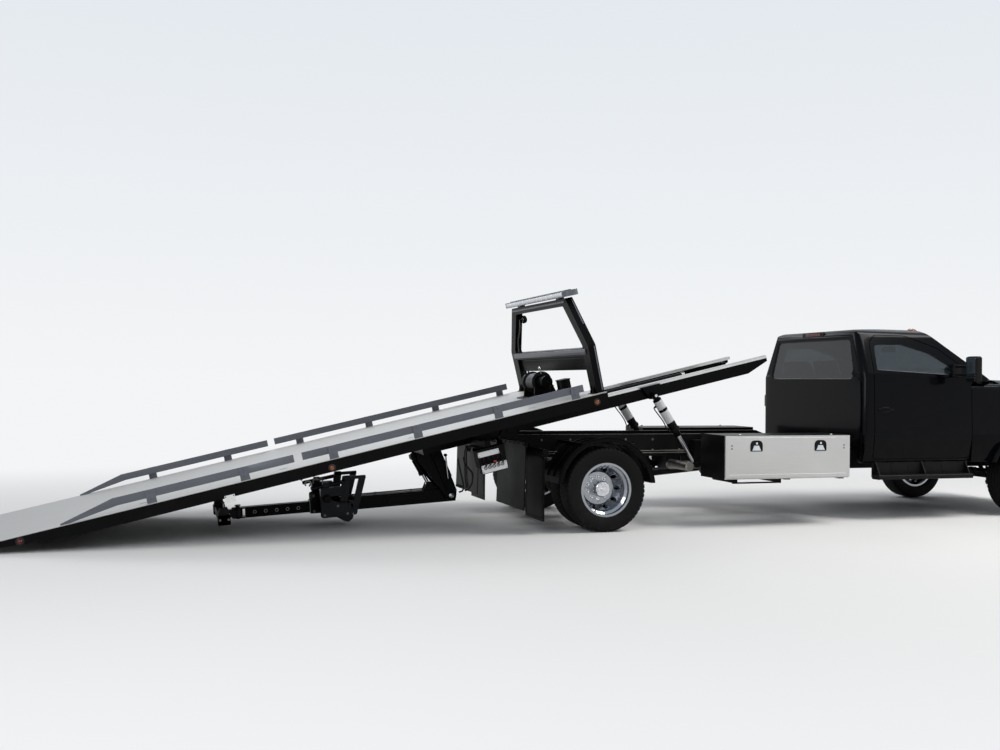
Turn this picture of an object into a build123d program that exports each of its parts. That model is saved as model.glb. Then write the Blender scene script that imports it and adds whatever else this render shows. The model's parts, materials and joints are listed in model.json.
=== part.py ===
from build123d import *
import os
from math import asin, atan2, cos, degrees, hypot, radians, sin, sqrt

# Flatbed tow truck, millimetres. X points forward from the rear axle, Y to the
# left, Z up from the ground. Every piece is moved at the end so that the origin
# lies on the ground, half way along the vehicle.

# Wheels and track
WHEELBASE = 5194
TYRE_RADIUS = 405
TYRE_WIDTH = 226
BEAD_RADIUS = 248
FLANGE_RADIUS = 260
RIM_HALF_WIDTH = 98
DISC_OFFSET = 130
DISC_THICKNESS = 18
BARREL_WALL = 10
HUB_BORE_RADIUS = 82
HAND_HOLE_COUNT = 10
HAND_HOLE_RADIUS = 21
HAND_HOLE_CIRCLE = 184
LUG_COUNT = 10
LUG_CIRCLE = 112.5
LUG_RADIUS = 16
LUG_HEIGHT = 24
FRONT_TRACK_Y = 941
REAR_TRACK_Y = 964
FIT_GAP = 0.3
MOVE_GAP = 5

# Chassis frame
RAIL_HALF_WIDTH = 432
RAIL_FLANGE = 75
RAIL_HEIGHT = 230
RAIL_WALL = 8
RAIL_TOP = 900
FRAME_REAR_X = -870
FRAME_REAR_CROP = 50
KICK_DROP = 165
MEMBER_HEIGHT = 70
FRAME_FRONT_OVERHANG = 760
FRONT_OVERHANG = 983

# Axles, gearbox and springs
REAR_SPRING_SEAT = 475
FRONT_SPRING_SEAT = 448
KINGPIN_Y = 800
SPINDLE_RADIUS = 32
REAR_HOUSING_Y = 700
PINION_FLANGE_X = 330
GEARBOX_REAR_X = WHEELBASE - 1444
GEARBOX_Z = 600
ENGINE_LOW = 760

# Tilting subframe and bed, in a frame of their own: origin at the tilt pivot,
# x forward along the deck, z square to it
PIVOT_X = -750
PIVOT_Z = 950
PIVOT_PIN_RADIUS = 30
PIVOT_PLATE = 16
SUB_TOP = 105
SUB_HEIGHT = 145
SUB_HALF_WIDTH = 425
SUB_FLANGE = 70
SUB_WALL = 10
SUB_FRONT = 3060
SUB_REAR = -900
BED_LENGTH = 5800
BED_WIDTH = 2438
BED_DEPTH = 104
BED_SLIDE_TRAVEL = 2880
BED_FRONT = 810
DECK_THICKNESS = 6
TAIL_CLEARANCE = 6
TAIL_TAPER_LENGTH = 950
TAIL_LIP = 16
CHANNEL_WALL = 8
CHANNEL_FLANGE = 55
SILL_Y = 415
SILL_FLANGE = 65
CROSS_DEPTH = 72
CROSS_COUNT = 14

DECK_TOP = SUB_TOP + MOVE_GAP + BED_DEPTH + DECK_THICKNESS
BED_TAIL = BED_FRONT - BED_LENGTH

# The tail's lower corner rests TAIL_CLEARANCE above the ground, which sets the tilt
TAIL_LOW = DECK_TOP - DECK_THICKNESS - TAIL_LIP
TILT = degrees(asin((PIVOT_Z - TAIL_CLEARANCE) / hypot(BED_TAIL, TAIL_LOW)) + atan2(TAIL_LOW, -BED_TAIL))

FRONT_X = WHEELBASE + FRONT_OVERHANG
TAIL_X = PIVOT_X + BED_TAIL * cos(radians(TILT)) - DECK_TOP * sin(radians(TILT))
MIDDLE_X = (FRONT_X + TAIL_X) / 2

# Side rails, headboard and winch on the bed
SIDE_RAIL_Y = 1185
SIDE_RAIL_LOW = 50
SIDE_RAIL_HEIGHT = 68
SIDE_RAIL_THICKNESS = 12
SIDE_RAIL_SPANS = ((590, -2134), (-2208, -4171))
RAIL_RAMP_LENGTH = 435
POST_WIDTH = 80
POST_SPACING = 785
POST_FIRST = 492
HEAD_HEIGHT = 955
HEAD_BEND_HEIGHT = 465
HEAD_BASE_Y = 1150
HEAD_BEND_Y = 1170
HEAD_TOP_Y = 830
HEAD_LEG = 150
HEAD_DEPTH = 80
PANEL_LOW = 225
PANEL_TOP = 366
LEDGE_TOP = 445
LIGHT_BAR_LENGTH = 1900
LIGHT_BAR_HEIGHT = 58
LIGHT_BAR_DEPTH = 160
WINCH_X = 560
WINCH_AXIS_HEIGHT = 150
DRUM_RADIUS = 48
DRUM_FLANGE_RADIUS = 110
DRUM_HALF_LENGTH = 150

SHAFT_RADIUS = 20

# Control bank on the subframe
CONTROL_X = -420
CONTROL_Y = 1120
LEVER_COUNT = 5
LEVER_PITCH = 46

# Cylinders
TILT_PIN_TOP = (1620, -15)
TILT_PIN_LOW_X = 1312
TILT_PIN_LOW_Z = 590
TILT_CYLINDER_Y = 505
TILT_BARREL_RADIUS = 46
TILT_ROD_RADIUS = 24
TILT_BARREL_LENGTH = 440
TILT_ROD_INSERT = 60
CYLINDER_PIN_RADIUS = 19
EYE_WIDTH = 56
EYE_WALL = 17
EYE_GAP = 0.5
SLIDE_BARREL_RADIUS = 40
SLIDE_BORE_RADIUS = 31
SLIDE_ROD_RADIUS = 22
SLIDE_AXIS_Z = 62

# Wheel lift, in the subframe's frame
LIFT_PIVOT = (-643, -547)
LIFT_RISE = 9.6
LIFT_TUBE = 130
LIFT_TUBE_WALL = 8
LIFT_BOOM_LENGTH = 1420
STINGER_TUBE = 104
STINGER_OUT = 620
STINGER_LENGTH = 1400
MAST_TOP_X = -750
MAST_Y = 105
MAST_PLATE = 16
LIFT_PIN_TOP = (-918, -84)
LIFT_PIN_BOOM = (-200, 118)
LIFT_RANGE = 18
LIFT_PIN_RADIUS = 22
LIFT_BARREL_RADIUS = 34
LIFT_ROD_RADIUS = 18
LIFT_BARREL_LENGTH = 205
LIFT_ROD_INSERT = 70
CROSSBAR_HALF = 480
CROSSBAR_SIZE = 90

# Cab and front end
CAB_REAR_X = WHEELBASE - 2146
KICK_REAR_X = CAB_REAR_X - 488
KICK_FRONT_X = CAB_REAR_X - 48
BEARING_X = KICK_REAR_X - 210
ROOF_CREST_X = CAB_REAR_X + 652
CAB_LOW_Z = 600
CAB_UNDERSIDE_Z = 770
ROCKER_INNER_Y = 880
CAB_WALL = 60
ROOF_Z = 2068
BELT_Z = 1545
COWL_Z = 1535
FIREWALL_X = WHEELBASE - 554
SCREEN_TOP = (WHEELBASE - 1094, 2040)
SCREEN_LOW = (WHEELBASE - 332, 1530)
WING_SEAM_Y = 925
CAB_HALF_WIDTH = 1005
MIRROR_REACH = 1345
ROOF_HALF_WIDTH = 800
DASH_HALF_WIDTH = 870
GLASS_THICKNESS = 6
GLASS_INSET = 12
SCREEN_RADIUS = 4500
DOOR_REAR_X = CAB_REAR_X + 137
DOOR_FRONT_X = WHEELBASE - 744
DOOR_GAP = 8
DOOR_SKIN = 28
DOOR_STEP = 14
DOOR_REACH_Y = 600
CORNER_RADIUS = 70
HOOD_FRONT_X = WHEELBASE + 851
HOOD_REAR_X = WHEELBASE - 309
CAB_CUT_X = HOOD_REAR_X + 115
FASCIA_TOP = 1345
FASCIA_HALF_WIDTH = 905
HOOD_FRONT_Z = 1405
HOOD_HALF_WIDTH = 790
WING_THICKNESS = 26
WING_TOP_Z = 1500
WING_LEDGE_Z = 1320
WELL_RADIUS = 505
WELL_INNER_Y = 560
FLARE_WIDTH = 62
GRILLE_HALF_WIDTH = 560
GRILLE_LOW = 860
BUMPER_LOW = 520
BUMPER_TOP = 800
BUMPER_DEPTH = 190
BUMPER_WRAP = 130

# Toolboxes, fenders and flaps
TOOLBOX_REAR_X = 1276
TOOLBOX_FRONT_X = CAB_REAR_X - 320
TOOLBOX_LOW = 478
TOOLBOX_TOP = 918
TOOLBOX_OUTER_Y = 1200
TOOLBOX_INNER_Y = 700
TOOLBOX_WALL = 12
BOX_ARM_LOW = 690
TOOLBOX_DOOR = 28
FENDER_RADIUS = 462
FENDER_WALL = 8
FENDER_INNER_Y = 700
FENDER_OUTER_Y = 1215
FLAP_X = -640
FLAP_LOW = 120
FLAP_THICKNESS = 10


# Basic forms
def block(x0, x1, y0, y1, z0, z1):
    return Pos((x0 + x1) / 2, (y0 + y1) / 2, (z0 + z1) / 2) * Box(x1 - x0, y1 - y0, z1 - z0)


def outline(points):
    # rows are (a, b) or (a, b, corner radius)
    face = make_face(Polyline(*[(p[0], p[1]) for p in points], close=True))
    for p in points:
        if len(p) > 2 and p[2] > 0:
            corner = face.vertices().sort_by_distance((p[0], p[1], 0))[0]
            face = fillet(corner, p[2])
    return face


def corner_tool(start, end, radius):
    # what a rounded corner loses along the edge from start to end; the body lies towards +X and +Y of the edge
    edge = Plane(origin=start, x_dir=(1, 0, 0), z_dir=Vector(*end) - Vector(*start))
    waste = Pos(radius / 2 - 10, radius / 2 - 10) * Rectangle(radius + 20, radius + 20) - Pos(radius, radius) * Circle(radius)
    return extrude(edge * waste, (Vector(*end) - Vector(*start)).length)


def prism_x(face, x0, x1):
    return extrude(Plane.YZ.offset(x0) * face, x1 - x0)


def prism_y(face, y0, y1):
    return extrude(Plane.XZ.offset(-y1) * face, y1 - y0)


def prism_z(face, z0, z1):
    return extrude(Plane.XY.offset(z0) * face, z1 - z0)


def rod_x(x0, x1, y, z, radius):
    return Pos((x0 + x1) / 2, y, z) * Rot(0, 90, 0) * Cylinder(radius, x1 - x0)


def rod_y(x, y0, y1, z, radius):
    return Pos(x, (y0 + y1) / 2, z) * Rot(90, 0, 0) * Cylinder(radius, y1 - y0)


def rod_z(x, y, z0, z1, radius):
    return Pos(x, y, (z0 + z1) / 2) * Cylinder(radius, z1 - z0)


def flip(part):
    return mirror(part, about=Plane.XZ)


def pair(part):
    return part + flip(part)


def between(start, end, shape):
    # shape stands along +Z from the origin; it is laid from start towards end
    x0, z0 = start
    x1, z1 = end
    return Pos(x0, 0, z0) * Rot(0, degrees(atan2(x1 - x0, z1 - z0)), 0) * shape


def tilted(part):
    # places a piece drawn in the bed's own frame
    return Pos(PIVOT_X, 0, PIVOT_Z) * Rot(0, -TILT, 0) * part


def tilted_point(x, z):
    c = cos(radians(TILT))
    s = sin(radians(TILT))
    return (PIVOT_X + x * c - z * s, PIVOT_Z + x * s + z * c)


def hollow_tube(length, size, wall):
    # square tube along -X from the origin
    outer = block(-length, 0, -size / 2, size / 2, -size / 2, size / 2)
    inner = size / 2 - wall
    return outer - block(-length, 0, -inner, inner, -inner, inner)


def channel_x(x0, x1, outer_y, z0, z1, flange, wall):
    # channel on the right side, open towards the middle; outer_y is its back
    outer = block(x0, x1, outer_y, outer_y + flange, z0, z1)
    return outer - block(x0, x1, outer_y + wall, outer_y + flange, z0 + wall, z1 - wall)


# Wheels
def rim_profile():
    # barrel and disc of one wheel: a is along the axle, b the radius; the disc
    # stands DISC_OFFSET towards +a
    w = RIM_HALF_WIDTH
    seat = BEAD_RADIUS
    well = BEAD_RADIUS - 24
    barrel = [(-w, FLANGE_RADIUS), (-w + 12, FLANGE_RADIUS), (-w + 14, seat), (-w + 48, seat), (-w + 66, well),
              (w - 66, well), (w - 48, seat), (w - 14, seat), (w - 12, FLANGE_RADIUS), (w, FLANGE_RADIUS),
              (w, seat - BARREL_WALL), (w - 40, seat - BARREL_WALL)]
    disc = [(DISC_OFFSET - 6, 164), (DISC_OFFSET, 150), (DISC_OFFSET, HUB_BORE_RADIUS - 8),
            (DISC_OFFSET - DISC_THICKNESS, HUB_BORE_RADIUS - 8), (DISC_OFFSET - DISC_THICKNESS, 158),
            (w - 62, well - BARREL_WALL), (-w + 60, well - BARREL_WALL), (-w + 44, seat - BARREL_WALL),
            (-w, seat - BARREL_WALL)]
    return barrel + disc


def hand_holes():
    holes = [Rot(0, 360 * (i + 0.5) / HAND_HOLE_COUNT, 0) * Pos(0, 0, HAND_HOLE_CIRCLE)
             * Rot(90, 0, 0) * Cylinder(HAND_HOLE_RADIUS, 4 * RIM_HALF_WIDTH)
             for i in range(HAND_HOLE_COUNT)]
    return holes


def lug_nuts(y0, y1):
    return [Rot(0, 360 * i / LUG_COUNT, 0) * Pos(0, 0, LUG_CIRCLE) * rod_y(0, y0, y1, 0, LUG_RADIUS)
            for i in range(LUG_COUNT)]


def single_rim():
    # disc towards +Y
    solid = revolve(Plane.YZ * outline(rim_profile()), Axis.Y)
    for hole in hand_holes():
        solid -= hole
    return solid


def front_rim():
    solid = single_rim()
    for nut in lug_nuts(DISC_OFFSET, DISC_OFFSET + LUG_HEIGHT):
        solid += nut
    cap = rod_y(0, DISC_OFFSET - DISC_THICKNESS, DISC_OFFSET + 62, 0, HUB_BORE_RADIUS - 6)
    cap = fillet(cap.edges().group_by(Axis.Y)[-1], 14)
    return solid + cap


def rear_rims():
    # inner wheel with its disc outwards, outer wheel with its disc inwards; they
    # meet at the wheel's mounting plane y = 0
    inner = Pos(0, -DISC_OFFSET, 0) * single_rim()
    outer = flip(inner)
    solid = inner + outer
    for nut in lug_nuts(DISC_THICKNESS - 1, DISC_THICKNESS + LUG_HEIGHT):
        solid += nut
    cap = rod_y(0, -DISC_THICKNESS, 148, 0, HUB_BORE_RADIUS - 6)
    cap = fillet(cap.edges().group_by(Axis.Y)[-1], 16)
    return solid + cap


def tyre():
    half = TYRE_WIDTH / 2
    bead = BEAD_RADIUS + FIT_GAP
    lip = FLANGE_RADIUS + 2
    inner = RIM_HALF_WIDTH - 14 - FIT_GAP
    side = RIM_HALF_WIDTH - 2
    profile = [(-inner, bead), (inner, bead), (inner, lip), (side, lip), (half, 330, 60), (half - 6, TYRE_RADIUS - 14),
               (half - 22, TYRE_RADIUS - 3), (0, TYRE_RADIUS), (-half + 22, TYRE_RADIUS - 3),
               (-half + 6, TYRE_RADIUS - 14), (-half, 330, 60), (-side, lip), (-inner, lip)]
    return revolve(Plane.YZ * outline(profile), Axis.Y)


# Chassis
def rail_outline(inset):
    top = RAIL_TOP - inset
    low = RAIL_TOP - RAIL_HEIGHT + inset
    front = WHEELBASE + FRAME_FRONT_OVERHANG
    return outline([(FRAME_REAR_X, low), (KICK_REAR_X, low), (KICK_FRONT_X, low - KICK_DROP), (front, low - KICK_DROP),
                    (front, top - KICK_DROP), (KICK_FRONT_X, top - KICK_DROP), (KICK_REAR_X, top),
                    (PIVOT_X + 15, top), (FRAME_REAR_X, top - FRAME_REAR_CROP)])


def frame_rails():
    back = -RAIL_HALF_WIDTH
    rail = prism_y(rail_outline(0), back, back + RAIL_FLANGE)
    rail -= prism_y(rail_outline(RAIL_WALL), back + RAIL_WALL, back + RAIL_FLANGE)
    solid = pair(rail)
    # rows: x of the member, its half width along x, drop of its top below the rail's top
    members = [(FRAME_REAR_X + 45, 40, 75), (-430, 35, 40), (620, 35, 40), (1500, 35, 40), (BEARING_X, 35, 40),
               (CAB_REAR_X + 212, 45, KICK_DROP + 5), (WHEELBASE + 480, 45, KICK_DROP + 130)]
    inner = RAIL_HALF_WIDTH - RAIL_WALL
    for x, half, drop in members:
        top = RAIL_TOP - drop
        member = block(x - half, x + half, -inner, inner, top - MEMBER_HEIGHT, top)
        # open below, as a pressed channel is
        solid += member - block(x - half + RAIL_WALL, x + half - RAIL_WALL, -inner - 1, inner + 1, top - MEMBER_HEIGHT - 1,
                                top - RAIL_WALL)
    return solid


def chassis_brackets():
    # tilt pivot plates and pin
    web = RAIL_HALF_WIDTH
    plate = outline([(PIVOT_X - 95, 720), (PIVOT_X + 150, 720), (PIVOT_X + 150, 830), (PIVOT_X + 45, 995, 30),
                     (PIVOT_X - 45, 995, 30), (PIVOT_X - 95, 900)])
    solid = pair(prism_y(plate, web, web + PIVOT_PLATE))
    solid += pair(rod_y(PIVOT_X, SUB_HALF_WIDTH - SUB_FLANGE, web + PIVOT_PLATE + 10, PIVOT_Z, PIVOT_PIN_RADIUS))
    # ears of the tilt cylinders' lower ends
    x = TILT_PIN_LOW_X
    z = TILT_PIN_LOW_Z
    ear = outline([(x - 20, 840), (x + 110, 840), (x + 110, 720), (x + 38, z - 40, 30), (x - 38, z - 40, 30)])
    half = EYE_WIDTH / 2 + EYE_GAP
    near = TILT_CYLINDER_Y - half
    far = TILT_CYLINDER_Y + half
    ears = prism_y(ear, near - 12, near) + prism_y(ear, far, far + 12)
    ears += block(x - 20, x + 110, web, far + 12, 760, 840)
    ears += rod_y(x, near - 26, near - 12, z, CYLINDER_PIN_RADIUS)
    ears += rod_y(x, far + 12, far + 26, z, CYLINDER_PIN_RADIUS)
    solid += pair(ears)
    # arms that carry the toolboxes
    for x in (TOOLBOX_REAR_X + 260, TOOLBOX_FRONT_X - 160):
        solid += pair(block(x, x + 50, web, TOOLBOX_INNER_Y, BOX_ARM_LOW, BOX_ARM_LOW + 50))
    # cab mounts on the rails
    seat = RAIL_TOP - KICK_DROP
    for x in (CAB_REAR_X + 150, CAB_REAR_X + 1100):
        solid += pair(rod_z(x, RAIL_HALF_WIDTH - 38, seat, CAB_UNDERSIDE_Z, 42))
    return solid


def leaf_spring(half_length, seat_z, sag, leaf_count, leaf_thickness, width, y_middle, hanger_top):
    # leaves are arcs of one centre, the longest on top; rear and front eyes hang on the rail
    radius = (half_length ** 2 + sag ** 2) / (2 * sag)
    stack = leaf_count * leaf_thickness
    centre_z = seat_z + stack + radius
    solid = None
    for i in range(leaf_count):
        outer = radius + leaf_thickness * (i + 1)
        inner = radius + leaf_thickness * i
        reach = half_length * (1 - 0.17 * i)
        ring = Cylinder(outer, width) - Cylinder(inner, width)
        ring = Pos(0, y_middle, centre_z) * Rot(90, 0, 0) * ring
        band = ring & block(-reach, reach, y_middle - width, y_middle + width, seat_z - 5, seat_z + stack + sag + 30)
        solid = band if solid is None else solid + band
    eye_z = seat_z + stack + sag
    low = y_middle - width / 2
    for x in (-half_length, half_length):
        solid += rod_y(x, low, low + width, eye_z, 24)
        side = 1 if y_middle > 0 else -1
        web = side * RAIL_HALF_WIDTH
        y0 = min(web, y_middle + side * width / 2)
        y1 = max(web, y_middle + side * width / 2)
        solid += block(x - 26, x + 26, y0, y1, eye_z, hanger_top)
    return solid


def springs():
    rear = leaf_spring(555, REAR_SPRING_SEAT, 95, 5, 13, 76, -560, RAIL_TOP - 90)
    front = leaf_spring(600, FRONT_SPRING_SEAT, 62, 3, 12, 70, -515, RAIL_TOP - KICK_DROP - 30)
    return pair(rear) + Pos(WHEELBASE, 0, 0) * pair(front)


def rear_axle():
    z = TYRE_RADIUS
    solid = rod_y(0, -REAR_HOUSING_Y, REAR_HOUSING_Y, z, 62)
    banjo = Pos(0, 0, z) * Rot(90, 0, 0) * Cylinder(178, 190)
    banjo = fillet(banjo.edges().filter_by(GeomType.CIRCLE), 50)
    solid += banjo
    solid += Pos(170, 0, z) * Rot(0, 90, 0) * Cone(120, 62, 240)
    solid += rod_x(280, PINION_FLANGE_X, 0, z, 55)
    # spindles inside the hubs
    solid += rod_y(0, -REAR_TRACK_Y - 60, REAR_TRACK_Y + 60, z, SPINDLE_RADIUS)
    # spring pads
    solid += pair(block(-70, 70, -600, -520, z, REAR_SPRING_SEAT - FIT_GAP))
    return solid


def front_axle():
    z = TYRE_RADIUS
    beam = block(-32, 32, -KINGPIN_Y + 20, KINGPIN_Y - 20, z - 38, z + 30)
    beam -= pair(block(-32, -12, -KINGPIN_Y + 90, -60, z - 24, z + 16))
    beam -= pair(block(12, 32, -KINGPIN_Y + 90, -60, z - 24, z + 16))
    beam += pair(rod_z(0, -KINGPIN_Y, z - 60, z + 60, 38))
    beam -= pair(rod_z(0, -KINGPIN_Y, z - 61, z + 61, 18 + FIT_GAP))
    beam += pair(block(-60, 60, -552, -478, z, FRONT_SPRING_SEAT - FIT_GAP))
    return Pos(WHEELBASE, 0, 0) * beam


def knuckle_right():
    z = TYRE_RADIUS
    y = -KINGPIN_Y
    solid = rod_z(0, y, z - 90, z - 60 - 1, 38) + rod_z(0, y, z + 60 + 1, z + 90, 38)
    solid += rod_z(0, y, z - 80, z + 80, 18)
    solid += block(-34, 34, y - 72, y, z - 90, z - 62) + block(-34, 34, y - 72, y, z + 62, z + 90)
    solid += block(-34, 34, y - 72, y - 44, z - 90, z + 90)
    solid += rod_y(0, -FRONT_TRACK_Y - 80, y - 60, z, SPINDLE_RADIUS)
    # steering arm
    solid += block(-190, -30, y - 20, y + 10, z - 88, z - 62)
    return Pos(WHEELBASE, 0, 0) * solid


def drive_shaft():
    z0 = TYRE_RADIUS
    z1 = GEARBOX_Z
    start = (PINION_FLANGE_X + FIT_GAP, z0)
    middle = (BEARING_X, 575)
    end = (GEARBOX_REAR_X - FIT_GAP, z1)
    solid = rod_x(start[0], start[0] + 60, 0, z0, 55) + rod_x(end[0] - 60, end[0], 0, z1, 55)
    for a, b in (((start[0] + 30, z0), middle), (middle, (end[0] - 30, z1))):
        length = hypot(b[0] - a[0], b[1] - a[1])
        solid += between(a, b, Pos(0, 0, length / 2) * Cylinder(44, length))
    # centre bearing hung from the cross member above it
    x, z = middle
    solid += Pos(x, 0, z) * Rot(0, 90, 0) * Cylinder(80, 60)
    return solid + block(x - 22, x + 22, -70, 70, z + 30, RAIL_TOP - 40 - RAIL_WALL - FIT_GAP)


def engine_block():
    x0 = WHEELBASE - 400
    x1 = WHEELBASE + 440
    body = block(x0, x1, -300, 300, ENGINE_LOW, 1240) + block(x0 + 60, x1 - 60, -190, 190, 560, ENGINE_LOW)
    # feet on the rails
    body += pair(block(WHEELBASE - 60, WHEELBASE + 60, -RAIL_HALF_WIDTH + 12, -300, RAIL_TOP - KICK_DROP + FIT_GAP, 800))
    bell = GEARBOX_REAR_X + 500
    gearbox = block(bell, x0 + 60, -210, 210, 480, 735) + block(GEARBOX_REAR_X, bell, -140, 140, 490, 700)
    return body + gearbox


def exhaust():
    x1 = KICK_REAR_X - 60
    muffler = rod_x(1500, x1, -300, 560, 110)
    muffler = fillet(muffler.edges().filter_by(GeomType.CIRCLE), 25)
    rise_x = WHEELBASE - 314
    route = FilletPolyline((x1 - 20, -262, 560), (rise_x, -262, 560), (rise_x, -262, ENGINE_LOW - FIT_GAP), radius=90)
    pipe = sweep(Plane(origin=route @ 0, z_dir=route % 0) * Circle(38), path=route)
    path = FilletPolyline((1520, -300, 560), (1120, -300, 560), (1000, -560, 600), (980, -1010, 600), radius=90)
    tail = sweep(Plane(origin=path @ 0, z_dir=path % 0) * Circle(44), path=path)
    solid = muffler + pipe + tail
    for x in (1700, x1 - 200):
        solid += block(x, x + 30, -395, -365, 600, RAIL_TOP - RAIL_HEIGHT - FIT_GAP)
    return solid


def fuel_tank():
    tank = block(1450, TOOLBOX_FRONT_X - 128, RAIL_HALF_WIDTH + 12, 690, 450, BOX_ARM_LOW - FIT_GAP)
    return fillet(tank.edges().filter_by(Axis.X), 40)


# Subframe, drawn in the bed's frame
def tilt_frame():
    low = SUB_TOP - SUB_HEIGHT
    rail = channel_x(SUB_REAR, SUB_FRONT, -SUB_HALF_WIDTH, low, SUB_TOP, SUB_FLANGE, SUB_WALL)
    rail -= prism_y(outline([(SUB_FRONT - 260, low - 1), (SUB_FRONT + 1, low - 1), (SUB_FRONT + 1, low + 85)]),
                    -SUB_HALF_WIDTH - 1, -SUB_HALF_WIDTH + SUB_FLANGE + 1)
    solid = pair(rail)
    inner = SUB_HALF_WIDTH - SUB_WALL
    for x in (SUB_REAR + 30, -330, 420, 1180, 1940, SUB_FRONT - 300):
        solid += block(x - 30, x + 30, -inner, inner, low + 5, low + 60)
    # wear strips that the bed slides on
    solid += pair(block(SUB_REAR, SUB_FRONT, -SUB_HALF_WIDTH + 5, -SUB_HALF_WIDTH + SUB_FLANGE - 5, SUB_TOP,
                        SUB_TOP + MOVE_GAP - FIT_GAP))
    # pivot sleeve
    solid += pair(rod_y(0, -SUB_HALF_WIDTH, -SUB_HALF_WIDTH + SUB_FLANGE, 0, PIVOT_PIN_RADIUS + 8))
    solid -= rod_y(0, -SUB_HALF_WIDTH - 1, SUB_HALF_WIDTH + 1, 0, PIVOT_PIN_RADIUS + FIT_GAP)
    # upper pins of the tilt cylinders
    x, z = TILT_PIN_TOP
    half = EYE_WIDTH / 2
    boss = outline([(x - 110, SUB_TOP - 12), (x + 110, SUB_TOP - 12), (x + 34, z - 34, 24), (x - 34, z - 34, 24)])
    near = TILT_CYLINDER_Y - half - EYE_GAP
    pins = prism_y(boss, SUB_HALF_WIDTH, near) + rod_y(x, near, TILT_CYLINDER_Y + half + 12, z, CYLINDER_PIN_RADIUS)
    pins += rod_y(x, TILT_CYLINDER_Y + half + 6, TILT_CYLINDER_Y + half + 14, z, CYLINDER_PIN_RADIUS + 8)
    solid += pair(pins)
    # holder of the slide cylinder
    holder = block(SUB_REAR + 90, SUB_REAR + 120, -60, 60, low + 5, SLIDE_AXIS_Z + SLIDE_BARREL_RADIUS + 6)
    holder += block(SUB_REAR + 30, SUB_REAR + 120, -60, 60, low + 5, low + 60)
    holder += block(SUB_FRONT - 330, SUB_FRONT - 300, -60, 60, low + 5, SLIDE_AXIS_Z + SLIDE_BARREL_RADIUS + 6)
    hole = rod_x(SUB_REAR, SUB_FRONT, 0, SLIDE_AXIS_Z, SLIDE_BARREL_RADIUS + FIT_GAP)
    solid += holder - hole
    solid += lift_mast() + control_bank()
    return solid


def lift_mast():
    px, pz = LIFT_PIVOT
    low = SUB_TOP - SUB_HEIGHT
    plate = outline([(SUB_REAR, low + 40), (MAST_TOP_X + 90, low + 40), (px + 70, pz + 40, 40), (px + 40, pz - 55, 35),
                     (px - 40, pz - 55, 35), (px - 80, pz + 60, 40), (SUB_REAR, low - 90)])
    solid = pair(prism_y(plate, MAST_Y, MAST_Y + MAST_PLATE))
    solid += pair(rod_y(px, MAST_Y - 30, MAST_Y + MAST_PLATE + 14, pz, LIFT_PIN_RADIUS))
    solid += rod_y(px, -MAST_Y, MAST_Y, pz, LIFT_PIN_RADIUS)
    # plate across the front of the mast
    solid += prism_y(outline([(MAST_TOP_X + 90, low + 30), (MAST_TOP_X + 78, low + 30), (px + 44, pz + 190),
                              (px + 56, pz + 190)]), -MAST_Y, MAST_Y)
    # ears of the lift cylinder
    x, z = LIFT_PIN_TOP
    ear = outline([(SUB_REAR, low + 5), (SUB_REAR + 60, low + 5), (x + 32, z - 28, 20), (x - 32, z - 28, 20),
                   (x - 32, z + 20)])
    near = LIFT_BARREL_RADIUS + MOVE_GAP
    solid += pair(prism_y(ear, near, near + 12))
    solid += rod_y(x, -near - 22, near + 22, z, CYLINDER_PIN_RADIUS)
    return solid


def control_bank():
    arm = block(CONTROL_X - 30, CONTROL_X + 30, -CONTROL_Y + 60, -SUB_HALF_WIDTH, -35, 25)
    body = block(CONTROL_X - 135, CONTROL_X + 135, -CONTROL_Y, -CONTROL_Y + 130, -212, -35)
    body = fillet(body.edges().filter_by(Axis.Y), 12)
    solid = arm + body
    face = -CONTROL_Y
    for i in range(LEVER_COUNT):
        x = CONTROL_X + (i - (LEVER_COUNT - 1) / 2) * LEVER_PITCH
        solid += rod_y(x, face - 18, face, -150, 10)
        lever = Pos(x, face - 16, -150) * Rot(-20, 0, 0) * rod_z(0, 0, 0, 88, 5)
        solid += lever + Pos(x, face - 16, -150) * Rot(-20, 0, 0) * Pos(0, 0, 96) * Sphere(13)
    return solid


def slide_barrel():
    x0 = SUB_REAR + 60
    x1 = x0 + BED_SLIDE_TRAVEL + 220
    tube = rod_x(x0, x1, 0, SLIDE_AXIS_Z, SLIDE_BARREL_RADIUS)
    return tube - rod_x(x0 - 1, x1 - 30, 0, SLIDE_AXIS_Z, SLIDE_BORE_RADIUS)


def slide_rod():
    # drawn with the bed slid back: from the bed's bracket into the barrel
    x0 = SUB_REAR - 60 - BED_SLIDE_TRAVEL
    x1 = SUB_REAR + 60 + 130
    return rod_x(x0, x1, 0, SLIDE_AXIS_Z, SLIDE_ROD_RADIUS)


def tilt_cylinder_line():
    top = tilted_point(*TILT_PIN_TOP)
    low = (TILT_PIN_LOW_X, TILT_PIN_LOW_Z)
    return top, low, hypot(top[0] - low[0], top[1] - low[1])


def cylinder_barrel(radius, bore, length):
    # eye at the origin, open end at +Z
    body = Cylinder(radius, length - radius)
    solid = Pos(0, 0, radius + (length - radius) / 2) * body
    solid += rod_y(0, -EYE_WIDTH / 2, EYE_WIDTH / 2, 0, CYLINDER_PIN_RADIUS + EYE_WALL)
    solid += block(-24, 24, -EYE_WIDTH / 2, EYE_WIDTH / 2, 0, radius + 4)
    solid += Pos(0, 0, length - 14) * Cylinder(radius + 6, 28)
    solid -= rod_y(0, -EYE_WIDTH, EYE_WIDTH, 0, CYLINDER_PIN_RADIUS + FIT_GAP)
    return solid - Pos(0, 0, radius + 20 + length / 2) * Cylinder(bore, length)


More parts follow.
